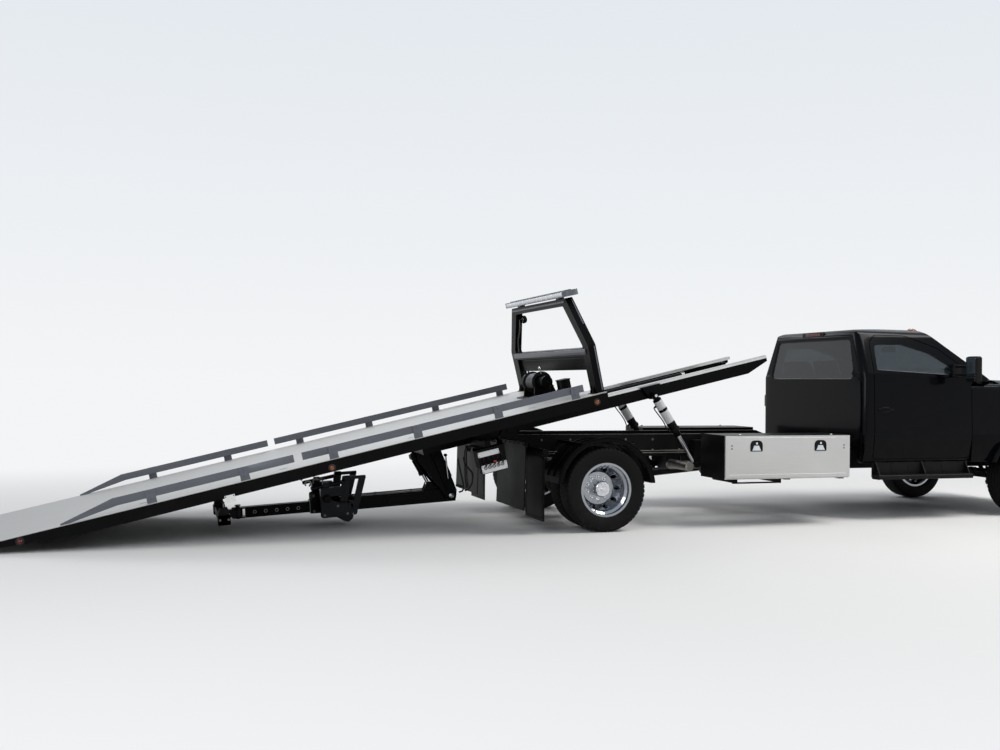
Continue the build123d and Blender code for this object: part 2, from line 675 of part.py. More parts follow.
def cylinder_rod(radius, length):
    # eye at the origin, rod towards +Z
    solid = Pos(0, 0, length / 2) * Cylinder(radius, length)
    solid += rod_y(0, -EYE_WIDTH / 2, EYE_WIDTH / 2, 0, CYLINDER_PIN_RADIUS + EYE_WALL)
    return solid - rod_y(0, -EYE_WIDTH, EYE_WIDTH, 0, CYLINDER_PIN_RADIUS + FIT_GAP)


def tilt_barrels():
    top, low, _ = tilt_cylinder_line()
    barrel = cylinder_barrel(TILT_BARREL_RADIUS, TILT_ROD_RADIUS + 8, TILT_BARREL_LENGTH)
    return pair(Pos(0, -TILT_CYLINDER_Y, 0) * between(top, low, barrel))


def tilt_rods():
    top, low, length = tilt_cylinder_line()
    rod = cylinder_rod(TILT_ROD_RADIUS, length - TILT_BARREL_LENGTH + TILT_ROD_INSERT)
    return pair(Pos(0, -TILT_CYLINDER_Y, 0) * between(low, top, rod))


# Bed, drawn in its own frame
def taper_cut():
    # everything under the sloping underside of the tail
    x0 = BED_TAIL
    x1 = BED_TAIL + TAIL_TAPER_LENGTH
    low = SUB_TOP + MOVE_GAP
    return prism_y(outline([(x0 - 50, low - 50), (x1, low - 50), (x1, low), (x0, TAIL_LOW), (x0 - 50, TAIL_LOW)]),
                   -BED_WIDTH, BED_WIDTH)


def bed_frame():
    low = SUB_TOP + MOVE_GAP
    top = low + BED_DEPTH
    half = BED_WIDTH / 2
    side = channel_x(BED_TAIL, BED_FRONT, -half, low, top, CHANNEL_FLANGE, CHANNEL_WALL)
    sill = channel_x(BED_TAIL, BED_FRONT, -SILL_Y, low, top, SILL_FLANGE, CHANNEL_WALL)
    solid = pair(side + sill)
    inner = half - CHANNEL_WALL
    span = BED_LENGTH - 260
    for i in range(CROSS_COUNT):
        x = BED_FRONT - 150 - i * span / (CROSS_COUNT - 1)
        solid += block(x - 25, x + 25, -inner, inner, top - CROSS_DEPTH, top)
    solid += block(BED_FRONT - 12, BED_FRONT, -inner, inner, low, top)
    solid += block(BED_TAIL, BED_TAIL + 60, -half, half, TAIL_LOW, top)
    solid -= taper_cut()
    # plate under the tapered tail
    x1 = BED_TAIL + TAIL_TAPER_LENGTH
    plate = outline([(BED_TAIL, TAIL_LOW), (x1, low), (x1, low + 6), (BED_TAIL, TAIL_LOW + 6)])
    solid += prism_y(plate, -half, half)
    # bracket of the slide rod
    x = SUB_REAR - 60 - BED_SLIDE_TRAVEL
    solid += block(x - 40, x, -70, 70, SLIDE_AXIS_Z - 30, top)
    solid += block(x - 40, x, -SILL_Y + 10, SILL_Y - 10, low, top)
    return solid


def deck_plate():
    top = DECK_TOP
    return block(BED_TAIL, BED_FRONT, -BED_WIDTH / 2, BED_WIDTH / 2, top - DECK_THICKNESS, top)


def side_rails():
    y = SIDE_RAIL_Y
    solid = None
    for front, rear in SIDE_RAIL_SPANS:
        low = DECK_TOP + SIDE_RAIL_LOW
        high = low + SIDE_RAIL_HEIGHT
        if rear == SIDE_RAIL_SPANS[-1][1]:
            knee = rear + RAIL_RAMP_LENGTH
            side = outline([(front, low), (front, high), (knee, high), (rear, DECK_TOP + 12), (rear, DECK_TOP),
                            (rear + 70, DECK_TOP), (knee + 30, low)])
        else:
            side = outline([(front, low), (front, high), (rear, high), (rear, low)])
        bar = prism_y(side, y - SIDE_RAIL_THICKNESS, y)
        solid = bar if solid is None else solid + bar
    x = POST_FIRST
    while x > SIDE_RAIL_SPANS[-1][1] + RAIL_RAMP_LENGTH:
        solid += block(x - POST_WIDTH / 2, x + POST_WIDTH / 2, y, y + 14, DECK_TOP, DECK_TOP + SIDE_RAIL_LOW
                       + SIDE_RAIL_HEIGHT)
        x -= POST_SPACING
    return pair(solid)


def headboard():
    z = DECK_TOP
    outer = outline([(-HEAD_BASE_Y, z), (-HEAD_BEND_Y, z + HEAD_BEND_HEIGHT, 60), (-HEAD_TOP_Y, z + HEAD_HEIGHT, 25),
                     (HEAD_TOP_Y, z + HEAD_HEIGHT, 25), (HEAD_BEND_Y, z + HEAD_BEND_HEIGHT, 60), (HEAD_BASE_Y, z)])
    x0 = BED_FRONT - HEAD_DEPTH
    solid = prism_x(outer, x0, BED_FRONT)
    foot = HEAD_BASE_Y - HEAD_LEG
    solid -= block(x0 - 1, BED_FRONT + 1, -foot, foot, z - 1, z + PANEL_LOW)
    ledge_y = HEAD_BEND_Y - HEAD_LEG
    crown = HEAD_TOP_Y - 105
    window = outline([(-ledge_y, z + LEDGE_TOP, 20), (-ledge_y, z + HEAD_BEND_HEIGHT + 10), (-crown, z + HEAD_HEIGHT - 75, 20),
                      (crown, z + HEAD_HEIGHT - 75, 20), (ledge_y, z + HEAD_BEND_HEIGHT + 10), (ledge_y, z + LEDGE_TOP, 20)])
    solid -= prism_x(window, x0 - 1, BED_FRONT + 1)
    # the panel is set back from the frame's faces
    for a, b in ((x0 - 1, x0 + 34), (x0 + 46, BED_FRONT + 1)):
        solid -= block(a, b, -foot, foot, z + PANEL_LOW - 1, z + PANEL_TOP)
    return solid


def light_bar():
    z = DECK_TOP + HEAD_HEIGHT
    half = LIGHT_BAR_LENGTH / 2
    x = BED_FRONT - HEAD_DEPTH / 2
    body = block(x - LIGHT_BAR_DEPTH / 2, x + LIGHT_BAR_DEPTH / 2, -half, half, z + 14, z + 14 + LIGHT_BAR_HEIGHT)
    body = fillet(body.edges().filter_by(Axis.Z), 60)
    return body + pair(block(x - 30, x + 30, 560, 640, z, z + 14))


def winch_frame():
    z = DECK_TOP
    x = WINCH_X
    axis_z = z + WINCH_AXIS_HEIGHT
    half = DRUM_HALF_LENGTH + MOVE_GAP
    solid = block(x - 160, x + 160, -half - 170, half + 150, z, z + 12)
    cheek = outline([(x - 130, z), (x + 130, z), (x + 70, axis_z + 70, 40), (x - 70, axis_z + 70, 40)])
    solid += prism_y(cheek, half, half + 16) + prism_y(cheek, -half - 16, -half)
    solid += rod_y(x, half + 16, half + 90, axis_z, 92) + rod_y(x, -half - 150, -half - 16, axis_z, 60)
    solid -= rod_y(x, -half - 40, half + 40, axis_z, SHAFT_RADIUS + FIT_GAP)
    return solid


def winch_drum():
    axis_z = DECK_TOP + WINCH_AXIS_HEIGHT
    half = DRUM_HALF_LENGTH
    solid = rod_y(WINCH_X, -half, half, axis_z, DRUM_RADIUS)
    solid += rod_y(WINCH_X, -half + 12, half - 12, axis_z, DRUM_RADIUS + 34)
    for y in (-half, half - 12):
        solid += rod_y(WINCH_X, y, y + 12, axis_z, DRUM_FLANGE_RADIUS)
    return solid + rod_y(WINCH_X, -half - 36, half + 36, axis_z, SHAFT_RADIUS)


# Wheel lift; the boom lies along -X from its pivot
def lift_placed(part):
    px, pz = LIFT_PIVOT
    return tilted(Pos(px, 0, pz) * Rot(0, LIFT_RISE, 0) * part)


def lift_boom():
    solid = Pos(60, 0, 0) * hollow_tube(LIFT_BOOM_LENGTH + 60, LIFT_TUBE, LIFT_TUBE_WALL)
    half = LIFT_TUBE / 2
    # wear pads at the mouth
    pad = half - 1
    mouth = STINGER_TUBE / 2 + FIT_GAP
    solid += block(-LIFT_BOOM_LENGTH, -LIFT_BOOM_LENGTH + 60, -pad, pad, -pad, pad) - block(
        -LIFT_BOOM_LENGTH - 1, -LIFT_BOOM_LENGTH + 61, -mouth, mouth, -mouth, mouth)
    solid += rod_y(0, -half, half, 0, LIFT_PIN_RADIUS + 14)
    solid -= rod_y(0, -half - 1, half + 1, 0, LIFT_PIN_RADIUS + FIT_GAP)
    # ears of the lift cylinder's rod
    x, z = LIFT_PIN_BOOM
    near = EYE_WIDTH / 2 + EYE_GAP
    ear = outline([(x - 70, half - 2), (x + 70, half - 2), (x + 30, z + 30, 22), (x - 30, z + 30, 22)])
    solid += pair(prism_y(ear, near, near + 12))
    solid += pair(rod_y(x, near + 12, near + 24, z, CYLINDER_PIN_RADIUS))
    # yoke round the boom's end with the cross tube that carries the stowed arms
    yoke = outline([(-LIFT_BOOM_LENGTH + 240, -half), (-LIFT_BOOM_LENGTH + 10, -half), (-LIFT_BOOM_LENGTH + 10, half + 70, 20),
                    (-LIFT_BOOM_LENGTH + 240, half + 70, 20)])
    solid += pair(prism_y(yoke, half, half + 14))
    x = -LIFT_BOOM_LENGTH + 125
    solid += rod_y(x, -420, 420, half + 36, 30)
    for y in (-330, 290):
        solid += block(x - 45, x + 45, y, y + 40, -half - 10, half + 36)
        solid += block(x - 45, x + 190, y, y + 40, -half - 10, -half + 30)
    return lift_placed(solid)


def lift_stinger():
    inner = hollow_tube(STINGER_LENGTH, STINGER_TUBE, 8)
    tip = -LIFT_BOOM_LENGTH - STINGER_OUT
    solid = Pos(tip + STINGER_LENGTH, 0, 0) * inner
    half = STINGER_TUBE / 2
    for z in (-half, half - 14):
        solid += block(tip - 70, tip, -60, 60, z, z + 14)
        solid += rod_z(tip - 70, 0, z, z + 14, 60)
    solid -= rod_z(tip - 70, 0, -half - 1, half + 1, 20 + FIT_GAP)
    return lift_placed(solid)


def lift_crossbar():
    tip = -LIFT_BOOM_LENGTH - STINGER_OUT - 70
    half = STINGER_TUBE / 2 - 15
    solid = rod_z(tip, 0, -half, half, 45) + rod_z(tip, 0, -half - 24, half + 24, 20)
    x0 = tip - 110 - CROSSBAR_SIZE
    solid += block(x0 + CROSSBAR_SIZE - 5, tip, -40, 40, -half, half)
    solid += block(x0, x0 + CROSSBAR_SIZE, -CROSSBAR_HALF, CROSSBAR_HALF, -half, half)
    for y in (-CROSSBAR_HALF, CROSSBAR_HALF - 110):
        solid += block(x0 - 12, x0 + CROSSBAR_SIZE + 12, y, y + 110, -half - 10, half + 10)
        solid -= block(x0 + 12, x0 + CROSSBAR_SIZE - 12, y + 20, y + 90, -half - 12, half + 12)
    return lift_placed(solid)


def lift_cylinder_line():
    px, pz = LIFT_PIVOT
    x, z = LIFT_PIN_BOOM
    c = cos(radians(LIFT_RISE))
    s = sin(radians(LIFT_RISE))
    low = (px + x * c + z * s, pz - x * s + z * c)
    top = LIFT_PIN_TOP
    return top, low, hypot(top[0] - low[0], top[1] - low[1])


def lift_barrel():
    top, low, length = lift_cylinder_line()
    return tilted(between(top, low, cylinder_barrel(LIFT_BARREL_RADIUS, LIFT_ROD_RADIUS + 6, LIFT_BARREL_LENGTH)))


def lift_rod():
    top, low, length = lift_cylinder_line()
    return tilted(between(low, top, cylinder_rod(LIFT_ROD_RADIUS, length - LIFT_BARREL_LENGTH + LIFT_ROD_INSERT)))


# Cab
def cab_volume(inset):
    side = outline([(CAB_REAR_X, CAB_LOW_Z, 40), (CAB_REAR_X, BELT_Z, 300), (CAB_REAR_X + 38, ROOF_Z - 25, 90),
                    (ROOF_CREST_X, ROOF_Z, 900), (WHEELBASE - 864, ROOF_Z - 45), (HOOD_REAR_X - 12, COWL_Z + 70),
                    (HOOD_REAR_X - 12, COWL_Z - 45), (FIREWALL_X, COWL_Z - 45), (FIREWALL_X, 900, 60),
                    (DOOR_FRONT_X + 60, CAB_LOW_Z)])
    half = CAB_HALF_WIDTH
    roof = ROOF_HALF_WIDTH
    section = outline([(-half + 45, CAB_LOW_Z, 40), (-half, 900, 500), (-half + 18, BELT_Z, 160),
                       (-roof, ROOF_Z - 60, 110), (-roof + 160, ROOF_Z - 8, 300), (0, ROOF_Z), (roof - 160, ROOF_Z - 8, 300),
                       (roof, ROOF_Z - 60, 110), (half - 18, BELT_Z, 160), (half, 900, 500), (half - 45, CAB_LOW_Z, 40)])
    side = offset(side, amount=-inset) if inset else side
    section = offset(section, amount=-inset) if inset else section
    solid = prism_y(side, -half, half) & prism_x(section, CAB_REAR_X, CAB_CUT_X)
    plan = outline([(CAB_REAR_X + inset, -half, 80), (CAB_REAR_X + inset, half, 80), (CAB_CUT_X, half), (CAB_CUT_X, -half)])
    solid &= prism_z(plan, CAB_LOW_Z, ROOF_Z + 10)
    # the corners above the belt lean with both walls
    rise = (ROOF_Z - 60 - BELT_Z)
    low = (CAB_REAR_X + inset - 0.1 * 38, -half + 18 + inset - 0.1 * (half - 18 - roof), BELT_Z - 0.1 * rise)
    high = (CAB_REAR_X + inset + 1.2 * 38, -half + 18 + inset + 1.2 * (half - 18 - roof), BELT_Z + 1.2 * rise)
    solid -= pair(corner_tool(low, high, CORNER_RADIUS))
    # the windscreen is part of a large cylinder that leans back
    sx, sz = SCREEN_TOP
    ex, ez = SCREEN_LOW
    length = hypot(ex - sx, ez - sz)
    nx = (sz - ez) / length
    nz = (ex - sx) / length
    lean = degrees(atan2(ex - sx, ez - sz))
    middle = ((sx + ex) / 2 - nx * SCREEN_RADIUS, (sz + ez) / 2 - nz * SCREEN_RADIUS)
    drum = Pos(middle[0], 0, middle[1]) * Rot(0, lean, 0) * Cylinder(SCREEN_RADIUS - inset, 9000)
    return solid & drum


def cab_hull():
    # the cab's walls with nothing cut: hollow, with rockers below the floor at each side
    outer = cab_volume(0)
    inner = cab_volume(CAB_WALL)
    inner &= block(CAB_REAR_X, CAB_CUT_X, -CAB_HALF_WIDTH, CAB_HALF_WIDTH, CAB_UNDERSIDE_Z + CAB_WALL, ROOF_Z)
    hull = outer - inner
    hull -= block(CAB_REAR_X - 1, CAB_CUT_X, -ROCKER_INNER_Y, ROCKER_INNER_Y, CAB_LOW_Z - 1, CAB_UNDERSIDE_Z)
    notch = block(DOOR_FRONT_X + 3, CAB_CUT_X, -CAB_HALF_WIDTH - 1, -WING_SEAM_Y, CAB_LOW_Z - 1, WING_TOP_Z + 8)
    return hull - pair(notch)


def door_outline(shrink):
    face = outline([(DOOR_REAR_X, 650, 40), (DOOR_REAR_X, BELT_Z, 200), (DOOR_REAR_X + 38, 1905, 60),
                    (DOOR_REAR_X + 120, 1980, 70), (DOOR_REAR_X + 515, 1978, 200), (DOOR_FRONT_X - 370, 1850, 160),
                    (DOOR_FRONT_X - 4, 1590, 30),
                    (DOOR_FRONT_X - 4, 650, 60)])
    return offset(face, amount=-shrink) if shrink else face


def window_outline(shrink):
    face = outline([(DOOR_REAR_X + 50, 1600, 25), (DOOR_REAR_X + 87, 1880, 45), (DOOR_REAR_X + 455, 1890, 150),
                    (DOOR_FRONT_X - 470, 1795, 120), (DOOR_FRONT_X - 65, 1545, 25)])
    return offset(face, amount=-shrink) if shrink else face


def rear_window(shrink):
    face = outline([(-820, 1500, 60), (-700, 1940, 60), (700, 1940, 60), (820, 1500, 60)])
    return offset(face, amount=-shrink) if shrink else face


def windscreen(shrink):
    face = outline([(-860, 1575, 60), (-705, 1985, 80), (705, 1985, 80), (860, 1575, 60)])
    return offset(face, amount=-shrink) if shrink else face


def side_window_prism(shrink):
    return prism_y(window_outline(shrink), -CAB_HALF_WIDTH - 50, -DOOR_REACH_Y)


def door_prism(shrink):
    # the sill and the floor behind the door's foot stay with the cab
    sill = block(CAB_REAR_X, CAB_CUT_X, -CAB_HALF_WIDTH + CAB_WALL - shrink, 0, CAB_LOW_Z, CAB_UNDERSIDE_Z + CAB_WALL)
    return prism_y(door_outline(shrink), -CAB_HALF_WIDTH - 50, -DOOR_REACH_Y) - sill


def cab_shell():
    solid = cab_hull()
    solid -= pair(door_prism(-DOOR_GAP))
    solid -= prism_x(rear_window(0), CAB_REAR_X - 50, CAB_REAR_X + 300)
    solid -= prism_x(windscreen(0), ROOF_CREST_X, CAB_CUT_X)
    # rests under the hood's rear edge
    rest = block(HOOD_REAR_X - 15, HOOD_REAR_X + 30, -730, -690, COWL_Z - 85, COWL_Z)
    rest &= front_volume(WING_THICKNESS + FIT_GAP)
    rest += block(HOOD_REAR_X - 60, HOOD_REAR_X - 14, -730, -690, COWL_Z - 85, COWL_Z - 40)
    return solid + pair(rest)


def cab_glass():
    skin = cab_volume(GLASS_INSET) - cab_volume(GLASS_INSET + GLASS_THICKNESS)
    rear = skin & prism_x(rear_window(FIT_GAP), CAB_REAR_X - 50, CAB_REAR_X + 200)
    front = skin & prism_x(windscreen(FIT_GAP), ROOF_CREST_X, CAB_CUT_X)
    return rear + front


def door_right():
    solid = cab_hull() & door_prism(0)
    # inside its outer panel the door is smaller all round than its opening
    solid -= cab_volume(DOOR_SKIN) - door_prism(DOOR_STEP)
    solid -= side_window_prism(0)
    # inner trim below the window, with an arm rest
    trim = outline([(DOOR_REAR_X + 40, 860, 30), (DOOR_REAR_X + 40, BELT_Z - 20, 30), (DOOR_FRONT_X - 60, BELT_Z - 40, 30),
                    (DOOR_FRONT_X - 60, 860, 30)])
    inner = CAB_HALF_WIDTH - CAB_WALL
    solid += prism_y(trim, -inner - 30, -inner + 35)
    rest = block(DOOR_REAR_X + 235, DOOR_FRONT_X - 400, -inner + 30, -inner + 90, 1150, 1200)
    return solid + fillet(rest.edges().filter_by(Axis.X), 14)


def door_glass_right():
    skin = cab_volume(GLASS_INSET) - cab_volume(GLASS_INSET + GLASS_THICKNESS)
    return skin & side_window_prism(FIT_GAP)


def mirror_right():
    y = -CAB_HALF_WIDTH
    x = DOOR_FRONT_X - 215
    head = block(x - 45, x + 50, -MIRROR_REACH, -MIRROR_REACH + 150, 1478, 1758)
    solid = fillet(head.edges(), 26)
    for z in (1560, 1650):
        solid += rod_y(x, -MIRROR_REACH + 120, y + 40, z, 13)
    base = block(x - 55, x + 55, y - 8, y + 52, 1540, 1672)
    return solid + base - cab_volume(-FIT_GAP)


def dashboard():
    front = FIREWALL_X - CAB_WALL
    side = outline([(front - 250, 1130, 30), (front - 320, 1330, 60), (front - 270, 1480, 60), (front, 1500), (front, 1130)])
    solid = prism_y(side, -DASH_HALF_WIDTH, DASH_HALF_WIDTH)
    # column and wheel on the left
    foot = (front - 280, 1300)
    head = (front - 570, 1420)
    rim = (front - 680, 1466)
    column = between(foot, head, Pos(0, 0, 150) * Cylinder(30, 320))
    wheel = between(head, rim, Torus(195, 15) + Cylinder(48, 30))
    spokes = between(head, rim, Box(40, 380, 14) + Pos(-95, 0, 0) * Box(190, 40, 14))
    return solid + Pos(0, 420, 0) * (column + wheel + spokes)


def seats():
    floor = CAB_UNDERSIDE_Z + CAB_WALL
    x = CAB_REAR_X + 152
    back = outline([(x + 150, 1160), (x, 1700, 40), (x + 110, 1730, 50), (x + 280, 1230)])
    solid = None
    # rows: middle y, width
    for y, width in ((-560, 520), (0, 380), (560, 520)):
        y0 = y - width / 2
        y1 = y + width / 2
        cushion = block(x + 170, x + 720, y0, y1, floor + 200, floor + 350)
        seat = block(x + 140, x + 700, y0, y1, floor, floor + 200) + fillet(cushion.edges().filter_by(Axis.Y), 45)
        seat += prism_y(back, y0 + 4, y1 - 4) + block(x + 145, x + 280, y0 + 4, y1 - 4, floor + 150, 1240)
        solid = seat if solid is None else solid + seat
    return solid


def cab_steps():
    x0 = DOOR_REAR_X + 15
    x1 = DOOR_FRONT_X - 30
    tread = block(x0, x1, -1060, -930, 430, 480)
    step = fillet(tread.edges().filter_by(Axis.X), 18)
    # kick plate behind the tread, with a brace at each end
    step += block(x0, x1, -935, -923, 450, CAB_LOW_Z + 15)
    brace = outline([(-1040, 470), (-930, 470), (-930, CAB_LOW_Z + 15), (-960, CAB_LOW_Z + 15)])
    for x in (x0 + 20, (x0 + x1) / 2, x1 - 32):
        step += prism_x(brace, x, x + 12)
    return pair(step - cab_volume(0))


# Front end
def front_volume(inset):
    side = outline([(DOOR_FRONT_X + 3, CAB_LOW_Z), (DOOR_FRONT_X + 3, WING_TOP_Z + 22), (HOOD_REAR_X - 15, WING_TOP_Z + 22, 400),
                    (HOOD_FRONT_X - 120, HOOD_FRONT_Z + 30, 300), (HOOD_FRONT_X + 30, HOOD_FRONT_Z - 60, 90),
                    (HOOD_FRONT_X + 55, CAB_LOW_Z)])
    half = CAB_HALF_WIDTH
    section = outline([(-half + 20, CAB_LOW_Z), (-half, 900, 500), (-half + 14, WING_TOP_Z - 60, 90),
                       (-HOOD_HALF_WIDTH - 20, WING_TOP_Z + 6, 200), (0, WING_TOP_Z + 40, 1500),
                       (HOOD_HALF_WIDTH + 20, WING_TOP_Z + 6, 200), (half - 14, WING_TOP_Z - 60, 90), (half, 900, 500),
                       (half - 20, CAB_LOW_Z)])
    x1 = HOOD_FRONT_X + 60
    plan = outline([(DOOR_FRONT_X, -half), (DOOR_FRONT_X, half), (x1 - 60, half, 220), (x1, 0, 2500), (x1 - 60, -half, 220)])
    if inset:
        side = offset(side, amount=-inset)
        section = offset(section, amount=-inset)
        plan = offset(plan, amount=-inset)
    solid = prism_y(side, -half, half) & prism_x(section, DOOR_FRONT_X, x1)
    return solid & prism_z(plan, CAB_LOW_Z, ROOF_Z)


def front_skin():
    inner = front_volume(WING_THICKNESS)
    below = block(DOOR_FRONT_X - 1, HOOD_FRONT_X - 40, -CAB_HALF_WIDTH + WING_THICKNESS, CAB_HALF_WIDTH - WING_THICKNESS,
                  CAB_LOW_Z - 1, CAB_LOW_Z + 40)
    return front_volume(0) - inner - below


def hood_prism(grow):
    low = FASCIA_TOP + grow
    return block(HOOD_REAR_X - grow, HOOD_FRONT_X + 100, -HOOD_HALF_WIDTH - grow, HOOD_HALF_WIDTH + grow, low - 2 * grow, ROOF_Z)


def front_clip():
    solid = front_skin() - hood_prism(DOOR_GAP)
    # room for the cab's cowl and pillars
    solid -= block(DOOR_FRONT_X - 1, HOOD_REAR_X + 12, -WING_SEAM_Y - 3, WING_SEAM_Y + 3, CAB_LOW_Z - 1, ROOF_Z)
    # openings of the front face
    solid -= block(HOOD_FRONT_X - 60, HOOD_FRONT_X + 100, -FASCIA_HALF_WIDTH, FASCIA_HALF_WIDTH, GRILLE_LOW, FASCIA_TOP)
    # wheel wells with their inner walls
    arch = rod_y(WHEELBASE, -CAB_HALF_WIDTH - 100, -WELL_INNER_Y, TYRE_RADIUS, WELL_RADIUS)
    liner = rod_y(WHEELBASE, -CAB_HALF_WIDTH + WING_THICKNESS / 2, -WELL_INNER_Y - 12, TYRE_RADIUS, WELL_RADIUS + 8)
    liner -= block(WHEELBASE - 700, WHEELBASE + 700, -CAB_HALF_WIDTH - 10, 0, -200, CAB_LOW_Z + 60)
    apron = block(HOOD_REAR_X + 40, HOOD_FRONT_X - 120, -WELL_INNER_Y - 12, -WELL_INNER_Y, 760, WING_LEDGE_Z)
    ledge = block(HOOD_REAR_X + 40, HOOD_FRONT_X - 120, -HOOD_HALF_WIDTH - 40, -WELL_INNER_Y, WING_LEDGE_Z - 12, WING_LEDGE_Z)
    wall = block(HOOD_REAR_X + 40, HOOD_FRONT_X - 120, -HOOD_HALF_WIDTH - 40, -HOOD_HALF_WIDTH - 20, WING_LEDGE_Z - 12,
                 WING_TOP_Z)
    wall &= front_volume(WING_THICKNESS / 2)
    flare = rod_y(WHEELBASE, -CAB_HALF_WIDTH - FLARE_WIDTH, -CAB_HALF_WIDTH + 20, TYRE_RADIUS, WELL_RADIUS + 45)
    flare = fillet(flare.edges().group_by(Axis.Y)[0], 30)
    flare -= block(WHEELBASE - 700, WHEELBASE + 700, -CAB_HALF_WIDTH - 100, 0, -200, CAB_LOW_Z)
    solid += pair(liner + flare + apron + ledge + wall)
    solid -= pair(arch)
    # room for the bumper
    solid -= block(FRONT_X - BUMPER_DEPTH - BUMPER_WRAP - MOVE_GAP, FRONT_X, -CAB_HALF_WIDTH - 10, CAB_HALF_WIDTH + 10,
                   CAB_LOW_Z - 1, BUMPER_TOP + MOVE_GAP)
    # radiator panel
    solid += block(HOOD_FRONT_X - 90, HOOD_FRONT_X - 60, -CAB_HALF_WIDTH + 60, CAB_HALF_WIDTH - 60, BUMPER_TOP + MOVE_GAP, FASCIA_TOP - 20)
    return solid


def hood():
    solid = front_skin() & hood_prism(0)
    return solid - block(HOOD_REAR_X - 10, HOOD_FRONT_X + 100, -2000, 2000, CAB_LOW_Z, FASCIA_TOP + 2)


def grille():
    x0 = HOOD_FRONT_X - 59.5
    half = GRILLE_HALF_WIDTH
    low = GRILLE_LOW + 5
    top = FASCIA_TOP - 8
    solid = block(x0, x0 + 95, -half, half, low, top) - block(x0 - 1, x0 + 96, -half + 40, half - 40, low + 40, top - 40)
    count = 6
    pitch = (top - low - 80) / (count + 1)
    for i in range(count):
        z = low + 40 + pitch * (i + 1)
        solid += block(x0 + 20, x0 + 88, -half + 30, half - 30, z - 14, z + 14)
    return solid + block(x0, x0 + 20, -half + 30, half - 30, low + 30, top - 30)


def lamps():
    x0 = HOOD_FRONT_X - 59.5
    head = block(x0, x0 + 95, -FASCIA_HALF_WIDTH + 5, -GRILLE_HALF_WIDTH - 5, GRILLE_LOW + 60, FASCIA_TOP - 8)
    head = fillet(head.edges().filter_by(Axis.X), 22)
    return pair(head)


def front_bumper():
    half = CAB_HALF_WIDTH + 25
    x1 = FRONT_X
    plan = outline([(x1 - BUMPER_DEPTH - BUMPER_WRAP, -half), (x1 - BUMPER_DEPTH - BUMPER_WRAP, -half + 40), (x1 - BUMPER_DEPTH, -half + 150, 60),
                    (x1 - BUMPER_DEPTH, half - 150, 60), (x1 - BUMPER_DEPTH - BUMPER_WRAP, half - 40), (x1 - BUMPER_DEPTH - BUMPER_WRAP, half),
                    (x1 - 60, half, 160), (x1, 0, 3000), (x1 - 60, -half, 160)])
    solid = prism_z(plan, BUMPER_LOW, BUMPER_TOP)
    solid -= block(x1 - 150, x1 + 10, -430, 430, BUMPER_LOW + 70, BUMPER_LOW + 150)
    rail_front = WHEELBASE + FRAME_FRONT_OVERHANG
    web = RAIL_HALF_WIDTH
    low = RAIL_TOP - RAIL_HEIGHT - KICK_DROP
    solid += pair(block(rail_front, x1 - BUMPER_DEPTH + 5, -web, -web + RAIL_FLANGE, max(low, BUMPER_LOW), low + 200))
    return solid


# Toolboxes, fenders and flaps
def toolboxes():
    x0 = TOOLBOX_REAR_X
    x1 = TOOLBOX_FRONT_X
    w = TOOLBOX_WALL
    y0 = -TOOLBOX_OUTER_Y + TOOLBOX_DOOR + 4
    solid = block(x0, x1, y0, -TOOLBOX_INNER_Y, TOOLBOX_LOW, TOOLBOX_TOP)
    solid -= block(x0 + w, x1 - w, y0 - 1, -TOOLBOX_INNER_Y - w, TOOLBOX_LOW + w, TOOLBOX_TOP - w)
    # lips under the door's hinge rod
    for x in (x0 + 60, (x0 + x1) / 2 - 30, x1 - 120):
        solid += block(x, x + 60, -TOOLBOX_OUTER_Y + TOOLBOX_DOOR - 11, y0 + 60, TOOLBOX_LOW - 10, TOOLBOX_LOW)
    return pair(solid)


def toolbox_door_right():
    x0 = TOOLBOX_REAR_X + 2
    x1 = TOOLBOX_FRONT_X - 2
    y = -TOOLBOX_OUTER_Y
    solid = block(x0, x1, y, y + TOOLBOX_DOOR, TOOLBOX_LOW + 14, TOOLBOX_TOP - 2)
    solid += rod_x(x0, x1, y + TOOLBOX_DOOR - 8, TOOLBOX_LOW + 8, 8 - FIT_GAP)
    for x in (x0 + 390, x1 - 390):
        paddle = outline([(x - 75, TOOLBOX_TOP - 100, 30), (x - 75, TOOLBOX_TOP - 40, 10), (x + 75, TOOLBOX_TOP - 40, 10),
                          (x + 75, TOOLBOX_TOP - 100, 30)])
        solid += prism_y(paddle, y - 12, y + 1)
    return solid


